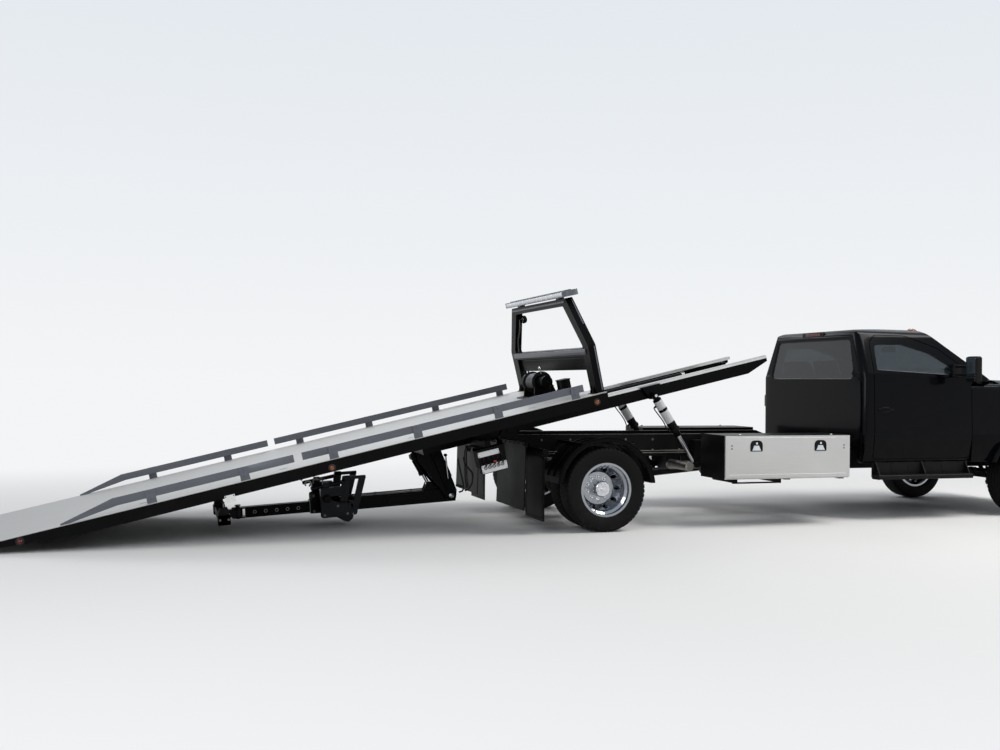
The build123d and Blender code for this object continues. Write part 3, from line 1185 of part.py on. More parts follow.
def rear_fenders():
    arc = Cylinder(FENDER_RADIUS + FENDER_WALL, FENDER_OUTER_Y - FENDER_INNER_Y) - Cylinder(
        FENDER_RADIUS, FENDER_OUTER_Y - FENDER_INNER_Y)
    arc = Pos(0, -(FENDER_OUTER_Y + FENDER_INNER_Y) / 2, TYRE_RADIUS) * Rot(90, 0, 0) * arc
    arc -= block(-700, 700, -1400, -600, -200, TYRE_RADIUS + 60)
    lip = Cylinder(FENDER_RADIUS + 40, 14) - Cylinder(FENDER_RADIUS, 14)
    lip = Pos(0, -FENDER_OUTER_Y + 7, TYRE_RADIUS) * Rot(90, 0, 0) * lip
    solid = arc + lip - block(-700, 700, -1400, -600, -200, TYRE_RADIUS + 60)
    # two carrier tubes to the rail
    for x in (-200, 200):
        z = TYRE_RADIUS + sqrt((FENDER_RADIUS + FENDER_WALL) ** 2 - x ** 2)
        solid += rod_y(x, -FENDER_OUTER_Y + 20, -RAIL_HALF_WIDTH, min(z + 4, RAIL_TOP - 30), 16)
    # mud flap with its hanger
    solid += block(FLAP_X - FLAP_THICKNESS, FLAP_X, -FENDER_OUTER_Y, -FENDER_INNER_Y, FLAP_LOW, 800)
    solid += block(FLAP_X, FLAP_X + 40, -FENDER_OUTER_Y + 10, -RAIL_HALF_WIDTH - PIVOT_PLATE, 740, 800)
    return pair(solid)


def wheel_at(part, x, y):
    return Pos(x, y, TYRE_RADIUS) * part


def build_parts():
    front_wheel = front_rim() + rod_y(0, -20, DISC_OFFSET, 0, HUB_BORE_RADIUS - 6)
    front_wheel -= rod_y(0, -40, DISC_OFFSET - 20, 0, SPINDLE_RADIUS + FIT_GAP)
    rear_wheel = rear_rims() + rod_y(0, -190, 0, 0, HUB_BORE_RADIUS - 6)
    rear_wheel -= rod_y(0, -200, 80, 0, SPINDLE_RADIUS + FIT_GAP)
    twin = Pos(0, DISC_OFFSET, 0) * tyre() + Pos(0, -DISC_OFFSET, 0) * tyre()
    parts = {
        "frame_rails": frame_rails(),
        "chassis_brackets": chassis_brackets(),
        "springs": springs(),
        "rear_axle": rear_axle(),
        "front_axle": front_axle(),
        "drive_shaft": drive_shaft(),
        "engine_block": engine_block(),
        "exhaust": exhaust(),
        "fuel_tank": fuel_tank(),
        "cab_shell": cab_shell(),
        "cab_glass": cab_glass(),
        "front_clip": front_clip(),
        "front_bumper": front_bumper(),
        "grille": grille(),
        "lamps": lamps(),
        "dashboard": dashboard(),
        "seats": seats(),
        "cab_steps": cab_steps(),
        "toolboxes": toolboxes(),
        "rear_fenders": rear_fenders(),
        "hood": hood(),
        "tilt_frame": tilted(tilt_frame()),
        "slide_barrel": tilted(slide_barrel()),
        "slide_rod": tilted(slide_rod()),
        "tilt_barrels": tilt_barrels(),
        "tilt_rods": tilt_rods(),
        "bed_frame": tilted(bed_frame()),
        "deck_plate": tilted(deck_plate()),
        "side_rails": tilted(side_rails()),
        "headboard": tilted(headboard()),
        "light_bar": tilted(light_bar()),
        "winch_frame": tilted(winch_frame()),
        "winch_drum": tilted(winch_drum()),
        "lift_boom": lift_boom(),
        "lift_stinger": lift_stinger(),
        "lift_crossbar": lift_crossbar(),
        "lift_barrel": lift_barrel(),
        "lift_rod": lift_rod(),
    }
    right_pieces = {
        "knuckle": knuckle_right(),
        "door": door_right(),
        "door_glass": door_glass_right(),
        "mirror": mirror_right(),
        "toolbox_door": toolbox_door_right(),
        "rim_front": flip(wheel_at(front_wheel, WHEELBASE, FRONT_TRACK_Y)),
        "tyre_front": flip(wheel_at(tyre(), WHEELBASE, FRONT_TRACK_Y)),
        "rims_rear": flip(wheel_at(rear_wheel, 0, REAR_TRACK_Y)),
        "tyres_rear": flip(wheel_at(twin, 0, REAR_TRACK_Y)),
    }
    for name, part in right_pieces.items():
        parts[name + "_right"] = part
        parts[name + "_left"] = flip(part)
    return parts


def main():
    os.makedirs("parts", exist_ok=True)
    for name, part in build_parts().items():
        export_step(Pos(-MIDDLE_X, 0, 0) * part, "parts/" + name + ".step")


if __name__ == "__main__":
    main()
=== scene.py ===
# Flatbed tow truck: finish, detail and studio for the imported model
import json
import math
import numpy as np
import bpy
import bmesh
from mathutils import Matrix, Vector
from mathutils.bvhtree import BVHTree

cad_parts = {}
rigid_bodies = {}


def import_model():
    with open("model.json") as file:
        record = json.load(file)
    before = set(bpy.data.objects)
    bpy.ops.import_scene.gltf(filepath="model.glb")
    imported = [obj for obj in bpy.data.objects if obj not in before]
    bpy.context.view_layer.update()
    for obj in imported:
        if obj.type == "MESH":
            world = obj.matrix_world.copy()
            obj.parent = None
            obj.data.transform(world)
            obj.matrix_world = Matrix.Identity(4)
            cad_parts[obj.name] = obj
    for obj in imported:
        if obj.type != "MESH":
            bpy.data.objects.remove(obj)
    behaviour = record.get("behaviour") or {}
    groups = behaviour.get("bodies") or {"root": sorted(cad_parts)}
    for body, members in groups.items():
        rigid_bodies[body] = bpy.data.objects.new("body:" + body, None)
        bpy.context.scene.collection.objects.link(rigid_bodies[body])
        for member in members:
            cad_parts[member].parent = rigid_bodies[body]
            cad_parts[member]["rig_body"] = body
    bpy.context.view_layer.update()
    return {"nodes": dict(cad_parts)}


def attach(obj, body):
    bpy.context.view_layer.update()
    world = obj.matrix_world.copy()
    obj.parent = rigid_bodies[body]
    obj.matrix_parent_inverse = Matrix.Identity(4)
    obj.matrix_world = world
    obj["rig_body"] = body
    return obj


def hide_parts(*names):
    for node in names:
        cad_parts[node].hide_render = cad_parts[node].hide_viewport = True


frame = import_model()
nodes = frame["nodes"]
print("frame loaded:", len(nodes), "nodes")

# places shared with the model, in metres
midX = 0.259047  # rear axle to the origin
tilt = math.radians(13.168426)
pivot = np.array([-0.75 - midX, 0.0, 0.95])
deckTop = 0.220  # above the pivot, square to the deck
wheelRadius = 0.405
wheelBase = 5.194
rearTrack = 0.964
frontTrack = 0.941
bothSides = ((-1, "right"), (1, "left"))


def onBed(points):
    # along the bed, across, and up from the pivot's line, turned by the tilt
    p = np.asarray(points, float)
    x, y, h = p[..., 0], p[..., 1], p[..., 2]
    c, s = math.cos(tilt), math.sin(tilt)
    return np.stack([pivot[0] + x * c - h * s, y + 0 * x, pivot[2] + x * s + h * c], -1)


def inWorld(points):
    return np.asarray(points, float)


def onTruck(points):
    # the chassis frame counts from the rear axle
    return np.asarray(points, float) - [midX, 0.0, 0.0]


# shapes: every part is (points, faces)

def sheetPart(points, closeRows=False, closeCols=False, capped=False):
    # quads over rows x cols x 3 points; caps close the first and last rows
    p = np.asarray(points, float)
    rows, cols = p.shape[:2]
    r = np.arange(rows if closeRows else rows - 1)
    c = np.arange(cols if closeCols else cols - 1)
    r, c = np.meshgrid(r, c, indexing="ij")
    r2, c2 = (r + 1) % rows, (c + 1) % cols
    quads = np.stack([r * cols + c, r2 * cols + c, r2 * cols + c2, r * cols + c2], -1)
    faces = quads.reshape(-1, 4).tolist()
    if capped:
        faces += [list(range(cols))[::-1], list(range((rows - 1) * cols, rows * cols))]
    return p.reshape(-1, 3), faces


def solidPart(rows):
    # closed rings stacked into a solid
    return sheetPart(rows, closeCols=True, capped=True)


def blockPart(low, high):
    a, b = np.minimum(low, high), np.maximum(low, high)
    p = np.array([[x, y, z] for x in (a[0], b[0]) for y in (a[1], b[1]) for z in (a[2], b[2])], float)
    return p, [[0, 1, 3, 2], [4, 6, 7, 5], [0, 4, 5, 1], [2, 3, 7, 6], [0, 2, 6, 4], [1, 5, 7, 3]]


def setOn(outline, axis, at):
    # an outline's points with a third value, along the axis; the outline's pair is in x, y, z order
    o = np.asarray(outline, float)
    return np.insert(o, axis, at + 0 * o[:, 0], axis=1)


def slabPart(outline, low, high, axis):
    # a flat outline carried from low to high along an axis
    return solidPart([setOn(outline, axis, at) for at in (low, high)])


def turnPart(profile, centre, axis, sides=48, closed=False):
    # rows of (along the axis, radius) turned about the axis
    pr = np.asarray(profile, float)
    t = np.linspace(0, 2 * math.pi, sides, endpoint=False)
    a = pr[:, 0][:, None] + 0 * t
    u, v = pr[:, 1][:, None] * np.cos(t), pr[:, 1][:, None] * np.sin(t)
    order = {0: (a, u, v), 1: (v, a, u), 2: (u, v, a)}[axis]
    return sheetPart(np.stack(order, -1) + np.asarray(centre, float), closeRows=closed, closeCols=True)


def ringRound(axis, sides):
    # the axis at length 1, and a circle of radius 1 square to it
    n = np.asarray(axis, float) / np.linalg.norm(axis)
    side = np.cross(n, [0, 0, 1.0] if abs(n[2]) < 0.9 else [1.0, 0, 0])
    side /= np.linalg.norm(side)
    t = np.linspace(0, 2 * math.pi, sides, endpoint=False)
    return n, np.cos(t)[:, None] * side + np.sin(t)[:, None] * np.cross(n, side)


def rodPart(start, end, radius, sides=20):
    # a round bar with a small chamfer at both ends
    a, b = np.asarray(start, float), np.asarray(end, float)
    n, ring = ringRound(b - a, sides)
    e = radius * 0.18
    rows = [(a, radius - e), (a + n * e, radius), (b - n * e, radius), (b, radius - e)]
    return solidPart([c + ring * r for c, r in rows])


def smoothLine(points, count):
    # Catmull-Rom through the points, as an even number of samples
    p = np.asarray(points, float)
    p = np.vstack([2 * p[0] - p[1], p, 2 * p[-1] - p[-2]])
    t = np.linspace(0, len(p) - 3 - 1e-9, count)
    k = t.astype(int)
    f = (t - k)[:, None]
    a, b, c, d = p[k], p[k + 1], p[k + 2], p[k + 3]
    square, cube = 2 * a - 5 * b + 4 * c - d, 3 * b - a - 3 * c + d
    return 0.5 * (2 * b + (c - a) * f + square * f ** 2 + cube * f ** 3)


def carryPart(path, section, up=(0, 0, 1.0), closed=False):
    # a flat section (across, up) carried along a path
    p = np.asarray(path, float)
    tangent = np.gradient(p, axis=0) if not closed else np.roll(p, -1, 0) - np.roll(p, 1, 0)
    tangent /= np.linalg.norm(tangent, axis=1)[:, None]
    across = np.cross(tangent, np.asarray(up, float))
    across /= np.linalg.norm(across, axis=1)[:, None]
    lift = np.cross(across, tangent)
    s = np.asarray(section, float)
    rows = p[:, None] + (s[None, :, :1] * across[:, None] + s[None, :, 1:] * lift[:, None])
    return sheetPart(rows, closeRows=closed, closeCols=True, capped=not closed)


def circleSection(radius, sides=12):
    t = np.linspace(0, 2 * math.pi, sides, endpoint=False)
    return np.stack([radius * np.cos(t), radius * np.sin(t)], -1)


def boxSection(across, up, topAcross=None, top=None):
    # four corners, narrower at the top where topAcross says so
    a, b = topAcross or across, top or up
    return [(-across, -up), (across, -up), (a, b), (-a, b)]


def tubePart(points, radius, sides, samples, up=(0, 0, 1.0)):
    return carryPart(smoothLine(points, samples), circleSection(radius, sides), up)


def roundedOutline(corners, radius, steps=5):
    # a polygon's corners replaced by curves that start and end where an arc of the radius would
    c = np.asarray(corners, float)
    out = []
    for i in range(len(c)):
        a, b, d = c[i - 1], c[i], c[(i + 1) % len(c)]
        u, v = (a - b) / np.linalg.norm(a - b), (d - b) / np.linalg.norm(d - b)
        r = radius[i] if np.ndim(radius) else radius
        half = math.acos(max(-1, min(1, float(u @ v)))) / 2
        cut = min(r / math.tan(half), 0.48 * np.linalg.norm(a - b), 0.48 * np.linalg.norm(d - b))
        t = np.linspace(0, 1, steps)[:, None]
        p, q = b + u * cut, b + v * cut
        out.append((1 - t) ** 2 * p + 2 * t * (1 - t) * b + t ** 2 * q if r > 0 else b[None])
    return np.vstack(out)


def roundedBox(left, low, right, top, radius, steps=5):
    return roundedOutline([(left, low), (right, low), (right, top), (left, top)], radius, steps)


def placed(part, how):
    return how(part[0]), part[1]


def boltHead(centre, axis, size=0.011, height=0.008):
    # a six-sided head with a rounded top and its washer: rows of (height, radius)
    n, ring = ringRound(axis, 6)
    rows = [(0.0, 1.35), (0.22, 1.35), (0.24, 1.0), (0.82, 1.0), (1.0, 0.8)]
    return solidPart([np.asarray(centre, float) + n * height * h + ring * size * r for h, r in rows])


def addPiece(name, mesh, body, bevel, smooth):
    # an object for the mesh, shaded, bevelled and riding on a body
    mesh.shade_smooth()
    mesh.set_sharp_from_angle(angle=math.radians(smooth))
    piece = bpy.data.objects.new(name, mesh)
    bpy.context.scene.collection.objects.link(piece)
    if bevel:
        edge = piece.modifiers.new("edges", "BEVEL")
        edge.width, edge.segments = bevel, 2
        edge.limit_method, edge.angle_limit = "ANGLE", math.radians(30)
        edge.harden_normals = True
        edge.use_clamp_overlap = True
    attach(piece, body)
    return piece


def makePiece(name, body, parts, finish, smooth=35, bevel=0.0, weld=1e-6):
    # one mesh object from its parts; holes are filled and faces turned outwards
    verts, faces, base = [], [], 0
    for p, f in parts:
        verts.append(p)
        faces += [[int(i) + base for i in face] for face in f]
        base += len(p)
    mesh = bpy.data.meshes.new(name)
    mesh.from_pydata(np.vstack(verts).tolist(), [], faces)
    mesh.materials.append(look[finish])
    work = bmesh.new()
    work.from_mesh(mesh)
    bmesh.ops.remove_doubles(work, verts=work.verts, dist=weld)
    bmesh.ops.holes_fill(work, edges=[e for e in work.edges if e.is_boundary], sides=0)
    bmesh.ops.recalc_face_normals(work, faces=work.faces)
    work.to_mesh(mesh)
    work.free()
    return addPiece(name, mesh, body, bevel, smooth)


class Kit:
    # pieces that share a body and a frame: piece() gives a call that adds a part to the piece

    def __init__(self, body, how):
        self.body, self.how, self.rows = body, how, []

    def piece(self, name, finish, smooth=35, bevel=0.0, weld=1e-6, body=None):
        parts = []
        self.rows.append((name, body or self.body, parts, finish, smooth, bevel, weld))
        return lambda part: parts.append(placed(part, self.how))

    def make(self):
        for row in self.rows:
            makePiece(*row)


def dressNode(node, finish, bevel):
    # a welded copy of the node with softened edges stands for it
    mesh = nodes[node].data.copy()
    work = bmesh.new()
    work.from_mesh(mesh)
    bmesh.ops.remove_doubles(work, verts=work.verts, dist=2e-5)
    bmesh.ops.dissolve_limit(work, angle_limit=math.radians(1.0), verts=work.verts, edges=work.edges)
    work.to_mesh(mesh)
    work.free()
    mesh.materials.clear()
    mesh.materials.append(look[finish])
    piece = addPiece(node + "Dressed", mesh, nodes[node]["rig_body"], bevel, smooth=32)
    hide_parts(node)


# shader nodes: a value of a node's input is a number, a colour or the socket that it is linked to

def addNode(tree, kind, values, **settings):
    # a node with its settings and the values of its inputs, by title or number
    n = tree.nodes.new("ShaderNode" + kind)
    for key, value in settings.items():
        setattr(n, key, value)
    for key, value in values.items():
        if isinstance(value, bpy.types.NodeSocket):
            tree.links.new(value, n.inputs[key])
        else:
            n.inputs[key].default_value = value
    return n


def objectPlace(tree):
    return addNode(tree, "TexCoord", {}).outputs["Object"]


def addNoise(tree, place, scale, detail, roughness=0.5):
    values = {"Vector": place, "Scale": scale, "Detail": detail, "Roughness": roughness}
    return addNode(tree, "TexNoise", values).outputs["Fac"]


def addRange(tree, value, fromLow, fromHigh, low=0.0, high=1.0):
    # the value's share between two bounds, laid between low and high
    return addNode(tree, "MapRange", {0: value, 1: fromLow, 2: fromHigh, 3: low, 4: high}).outputs[0]


def addMath(tree, operation, first, second):
    return addNode(tree, "Math", {0: first, 1: second}, operation=operation).outputs[0]


def mixValues(tree, share, first, second):
    return addNode(tree, "Mix", {0: share, 2: first, 3: second}).outputs[0]


def mixColours(tree, share, first, second, blend="MIX"):
    values = {0: share, 6: first, 7: second}
    return addNode(tree, "Mix", values, data_type="RGBA", blend_type=blend).outputs[2]


def addBump(tree, height, strength):
    values = {"Strength": strength, "Distance": 0.004, "Height": height}
    return addNode(tree, "Bump", values).outputs[0]


def useGroup(tree, group, **values):
    return addNode(tree, "Group", values, node_tree=group).outputs[0]


def newGroup(name, output, **inputs):
    # an empty group, the sockets of its inputs and the socket of its one output
    group = bpy.data.node_groups.new(name, "ShaderNodeTree")
    for title, value in inputs.items():
        socket = group.interface.new_socket(title, in_out="INPUT", socket_type="NodeSocketFloat")
        socket.default_value = value
    group.interface.new_socket(output, in_out="OUTPUT", socket_type="NodeSocketFloat")
    given, result = group.nodes.new("NodeGroupInput"), group.nodes.new("NodeGroupOutput")
    return group, given.outputs, result.inputs[0]


def makeGrainGroup():
    # height of fine cast or sprayed grain, mixed from two noises
    g, given, result = newGroup("surfaceGrain", "Height", Scale=300.0, Coarse=0.3)
    place = objectPlace(g)
    fine = addNoise(g, place, given["Scale"], 3.0, 0.6)
    wide = addNoise(g, place, addMath(g, "MULTIPLY", given["Scale"], 0.13), 2.0)
    g.links.new(mixValues(g, given["Coarse"], fine, wide), result)
    return g


def makeDustGroup():
    # road dust: thick near the ground, broken up by noise, thin above Top
    g, given, result = newGroup("roadDust", "Mask", Top=1.2, Amount=0.5, Scale=9.0)
    place = objectPlace(g)
    height = addNode(g, "SeparateXYZ", {0: place}).outputs["Z"]
    fall = addRange(g, height, 0.0, given["Top"], 1.0, 0.0)
    patches = addRange(g, addNoise(g, place, given["Scale"], 6.0, 0.62), 0.36, 0.68)
    mask = addMath(g, "MULTIPLY", patches, fall)
    g.links.new(addMath(g, "MULTIPLY", mask, given["Amount"]), result)
    return g


def makeStreakGroup():
    # long fine lines, for brushed metal and drag marks; the scales stretch the noise
    g, given, result = newGroup("streaks", "Lines", X=3.0, Y=400.0, Z=400.0, Tilt=0.0)
    turned = {"Vector": objectPlace(g), "Angle": given["Tilt"]}
    turn = addNode(g, "VectorRotate", turned, rotation_type="Y_AXIS").outputs[0]
    size = addNode(g, "CombineXYZ", {axis: given[axis] for axis in "XYZ"}).outputs[0]
    place = addNode(g, "VectorMath", {0: turn, 1: size}, operation="MULTIPLY").outputs[0]
    g.links.new(addNoise(g, place, 1.0, 3.0, 0.55), result)
    return g


def makeScuffGroup():
    # scattered marks: 1 inside a mark, 0 elsewhere
    g, given, result = newGroup("scuffs", "Mask", Scale=14.0, Cut=0.62)
    patch = addNoise(g, objectPlace(g), given["Scale"], 8.0, 0.72)
    g.links.new(addRange(g, patch, given["Cut"], addMath(g, "ADD", given["Cut"], 0.06)), result)
    return g


grainGroup = makeGrainGroup()
dustGroup = makeDustGroup()
streakGroup = makeStreakGroup()
scuffGroup = makeScuffGroup()
dustColour = (0.17, 0.155, 0.135, 1)

# every finish: colour, metal and roughness first, then the effects it wears
finishes = {
    "cabPaint": dict(colour=(0.0009, 0.0011, 0.0019), rough=0.20, spec=0.05, coat=0.07, coatRough=0.03,
                     grain=900, bump=0.008, dust=0.02, dustTop=1.5),
    "bedPaint": dict(colour=(0.0017, 0.0018, 0.0022), rough=0.36, spec=0.05, coat=0.02, coatRough=0.12,
                     grain=700, bump=0.03, dust=0.015, dustTop=1.5, scuff=0.12),
    "chassisPaint": dict(colour=(0.0020, 0.0020, 0.0023), rough=0.48, spec=0.10, grain=420, bump=0.06,
                         dust=0.05, dustTop=1.4),
    "armPaint": dict(colour=(0.0045, 0.0055, 0.0080), rough=0.38, spec=0.14, grain=600, bump=0.04,
                     dust=0.05, dustTop=1.2, scuff=0.2),
    "deckPaint": dict(colour=(0.39, 0.388, 0.38), rough=0.46, metal=0.10, spec=0.35, grain=260, bump=0.03,
                      dust=0.04, dustTop=4.0, scuff=0.14, uneven=0.035, scuffColour=(0.33, 0.326, 0.315),
                      streak=(2.2, 90, 90), streakDepth=0.05, tilted=True),
    "doorAlloy": dict(colour=(0.56, 0.555, 0.545), rough=0.36, metal=0.80, grain=500, bump=0.008,
                      streak=(3, 420, 420), streakDepth=0.05, uneven=0.02),
    "barLens": dict(colour=(0.70, 0.72, 0.74), rough=0.18, metal=0.90, grain=500, bump=0.006, uneven=0.03),
    "paleEnamel": dict(colour=(0.56, 0.57, 0.57), rough=0.38, grain=500, bump=0.02, dust=0.06, dustTop=1.5,
                       uneven=0.05),
    "redEnamel": dict(colour=(0.50, 0.020, 0.015), rough=0.35, grain=500, bump=0.02),
    "tailSteel": dict(colour=(0.20, 0.185, 0.165), rough=0.34, metal=1.0, grain=260, bump=0.04, dust=0.10,
                      dustTop=1.0, scuff=0.25),
    # rail alloy: the deck's pale metal painted much darker, a painted shade for the rails' shaded near side
    "railAlloy": dict(colour=(0.115, 0.121, 0.137), rough=0.40, metal=0.70, grain=300, bump=0.03,
                      streak=(3, 240, 240), streakDepth=0.10, uneven=0.05, tilted=True),
    # rim alloy: polished metal whose colour is darkened and blued, a painted shade and a painted sky
    # reflection on the wheels
    "polishedAlloy": dict(colour=(0.33, 0.345, 0.37), rough=0.12, metal=1.0, grain=600, bump=0.012,
                          dust=0.06, dustTop=0.9),
    "brightTrim": dict(colour=(0.66, 0.67, 0.69), rough=0.07, metal=1.0, grain=500, bump=0.008, dust=0.04,
                       dustTop=0.9),
    "pistonRod": dict(colour=(0.42, 0.43, 0.45), rough=0.10, metal=1.0, grain=800, bump=0.008),
    "bareSteel": dict(colour=(0.24, 0.235, 0.225), rough=0.36, metal=1.0, grain=300, bump=0.05, dust=0.15,
                      dustTop=1.4, scuff=0.3),
    "pipeSteel": dict(colour=(0.13, 0.125, 0.115), rough=0.42, metal=1.0, grain=220, bump=0.06, dust=0.20,
                      dustTop=1.2, scuff=0.3),
    "castIron": dict(colour=(0.0090, 0.0088, 0.0085), rough=0.62, spec=0.12, grain=260, bump=0.16,
                     dust=0.10, dustTop=1.1),
    "tyreRubber": dict(colour=(0.0042, 0.0042, 0.0045), rough=0.62, spec=0.10, grain=520, bump=0.06,
                       dust=0.03, dustTop=0.9),
    "moulding": dict(colour=(0.0035, 0.0035, 0.0040), rough=0.56, spec=0.14, grain=1100, bump=0.10,
                     dust=0.03, dustTop=1.3),
    "fenderPlastic": dict(colour=(0.0014, 0.0014, 0.0016), rough=0.45, spec=0.06, grain=500, bump=0.05,
                          dust=0.02, dustTop=1.2),
    # bright subframe strips: wear pads whose bright metal also paints the highlights along the subframe's
    # edges
    "wearStripPaintedHighlight": dict(colour=(0.62, 0.62, 0.61), rough=0.30, metal=0.9, grain=300, bump=0.02, scuff=0.2,
                      streak=(2, 160, 160), streakDepth=0.12, tilted=True),
    "wireRope": dict(colour=(0.11, 0.11, 0.112), rough=0.40, metal=0.9, grain=900, bump=0.1),
    "labelWhite": dict(colour=(0.74, 0.74, 0.72), rough=0.45, grain=400, bump=0.02, dust=0.1, dustTop=1.3),
    "hoseRubber": dict(colour=(0.0060, 0.0060, 0.0065), rough=0.50, spec=0.3, grain=900, bump=0.10),
    "roofCloth": dict(colour=(0.16, 0.16, 0.165), rough=0.92, grain=1600, bump=0.2),
    "seatCloth": dict(colour=(0.030, 0.030, 0.032), rough=0.88, spec=0.3, grain=1500, bump=0.35,
                      streak=(900, 900, 900), streakDepth=0.25),
    "mirrorGlass": dict(colour=(0.30, 0.34, 0.38), rough=0.03, metal=1.0, grain=500, bump=0.0, uneven=0.02),
    "dashPlastic": dict(colour=(0.022, 0.022, 0.023), rough=0.62, grain=1300, bump=0.16)}


def makeFinish(name, colour, rough, metal=0.0, spec=0.5, coat=0.0, coatRough=0.03, grain=0, bump=0.0,
               uneven=0.12, dust=0.0, dustTop=1.2, scuff=0.0, scuffColour=None, streak=None,
               streakDepth=0.0, tilted=False):
    # colour and roughness pass through each effect that the finish wears
    m = bpy.data.materials.new(name)
    m.use_nodes = True
    t = m.node_tree
    t.nodes.clear()
    tone = addNoise(t, objectPlace(t), 2.3, 5.0, 0.6)
    lift = addRange(t, tone, 0.3, 0.7, 1 - uneven, 1 + uneven)
    base = mixColours(t, 1.0, (*colour, 1), lift, "MULTIPLY")
    gloss = addRange(t, tone, 0.3, 0.7, rough * (1 - uneven), min(1.0, rough * (1 + uneven)))
    if streak:
        lines = useGroup(t, streakGroup, **dict(zip("XYZ", streak)), Tilt=tilt if tilted else 0.0)
        depth = addRange(t, lines, 0.3, 0.7, 1 - streakDepth, 1 + streakDepth)
        base = mixColours(t, 1.0, base, depth, "MULTIPLY")
        gloss = addMath(t, "MULTIPLY", gloss, depth)
    if scuff:
        marks = useGroup(t, scuffGroup, Scale=11.0, Cut=0.66 - 0.14 * scuff)
        tint = scuffColour or tuple(min(1, c * 1.8 + 0.015) for c in colour)
        share = addMath(t, "MULTIPLY", marks, 0.5)
        base = mixColours(t, share, base, (*tint, 1))
        gloss = mixValues(t, share, gloss, min(0.9, rough + 0.25))
    if dust:
        film = useGroup(t, dustGroup, Top=dustTop, Amount=dust)
        base = mixColours(t, film, base, dustColour)
        gloss = mixValues(t, film, gloss, 0.85)
    values = {"Base Color": base, "Roughness": gloss, "Metallic": metal, "Specular IOR Level": spec,
              "Coat Weight": coat, "Coat Roughness": coatRough}
    if bump:
        values["Normal"] = addBump(t, useGroup(t, grainGroup, Scale=grain), bump)
    skin = addNode(t, "BsdfPrincipled", values)
    addNode(t, "OutputMaterial", {0: skin.outputs[0]})
    return m


def makeGlass(name, colour, rough=0.015, glow=0.0, ribs=0.0):
    # clear or coloured glass; ribs give a lens its flutes
    m = bpy.data.materials.new(name)
    m.use_nodes = True
    t = m.node_tree
    t.nodes.clear()
    place = objectPlace(t)
    film = addNoise(t, place, 4.0, 6.0, 0.6)
    values = {"Transmission Weight": 1.0, "IOR": 1.5,
              "Roughness": addRange(t, film, 0.35, 0.75, rough, rough + 0.05),
              "Base Color": mixColours(t, 0.12, (*colour, 1), film, "MULTIPLY")}
    if ribs:
        flutes = addNode(t, "TexWave", {"Vector": place, "Scale": 60.0}, bands_direction="Y")
        values["Normal"] = addBump(t, flutes.outputs["Fac"], ribs)
    if glow:
        values.update({"Emission Color": (*colour, 1), "Emission Strength": glow})
    skin = addNode(t, "BsdfPrincipled", values)
    addNode(t, "OutputMaterial", {0: skin.outputs[0]})
    return m


look = {name: makeFinish(name, **spec) for name, spec in finishes.items()}
# cab glass: a dark privacy tint, with a blue cast that is a painted sky reflection
look["rearGlass"] = makeGlass("rearGlass", (0.035, 0.045, 0.055))
look["sideGlass"] = makeGlass("sideGlass", (0.55, 0.64, 0.63))
look["lampGlass"] = makeGlass("lampGlass", (0.93, 0.95, 0.97), rough=0.01, ribs=0.25)
look["redLens"] = makeGlass("redLens", (0.75, 0.02, 0.015), rough=0.08, glow=0.06)
look["amberLens"] = makeGlass("amberLens", (1.0, 0.30, 0.015), rough=0.08, glow=0.10)
print("finishes made:", len(look))

# camera, floor and light

paleBack = (0.90, 0.91, 0.92, 1)
# the fitted camera: its place in metres, its turns in radians, its focus in points of a picture 1000 across
photoView = dict(place=(-4.112 - midX, -10.678, 1.426), yaw=0.309, pitch=0.007, roll=0.010, focus=1071.45)
floor = dict(half=90.0, low=-0.001, colour=(0.70, 0.70, 0.695, 1), rough=0.7, fade=(3.2, 9.0), stretch=1.6)
lamps = {
    "keyLight": dict(place=(7.0, -3.0, 9.5), aim=(0, 0, 0.6), size=(6, 6), power=1050,
                     colour=(1.0, 0.975, 0.94)),
    "fillLight": dict(place=(-8.0, -9.0, 5.5), aim=(-1, 0, 0.8), size=(7, 4), power=420,
                      colour=(0.94, 0.97, 1.0)),
    "backLight": dict(place=(-2.0, 9.0, 7.5), aim=(0, 0, 1.0), size=(9, 4), power=420,
                      colour=(0.96, 0.98, 1.0))}


def seenRay(t):
    # 1 for camera, mirror and glass rays: the larger of the three
    path = addNode(t, "LightPath", {}).outputs
    first = addMath(t, "MAXIMUM", path["Is Camera Ray"], path["Is Glossy Ray"])
    return addMath(t, "MAXIMUM", first, path["Is Transmission Ray"])


def makeCamera():
    # the view's turns in order: yaw about up, pitch about right, roll about the line of sight
    view = photoView
    cam = bpy.data.objects.new("viewCamera", bpy.data.cameras.new("viewCamera"))
    bpy.context.scene.collection.objects.link(cam)
    cam.data.sensor_fit, cam.data.sensor_width = "HORIZONTAL", 36.0
    cam.data.lens = view["focus"] * 36.0 / 1000
    cam.data.clip_end = 200
    cy, sy = math.cos(view["yaw"]), math.sin(view["yaw"])
    cp, sp = math.cos(view["pitch"]), math.sin(view["pitch"])
    cr, sr = math.cos(view["roll"]), math.sin(view["roll"])
    right, ahead, up = Vector((cy, -sy, 0)), Vector((sy, cy, 0)), Vector((0, 0, 1))
    sight, raised = ahead * cp + up * sp, up * cp - ahead * sp
    across, upward = right * cr + raised * sr, raised * cr - right * sr
    cam.matrix_world = Matrix((across, upward, -sight)).transposed().to_4x4()
    cam.location = view["place"]
    bpy.context.scene.camera = cam


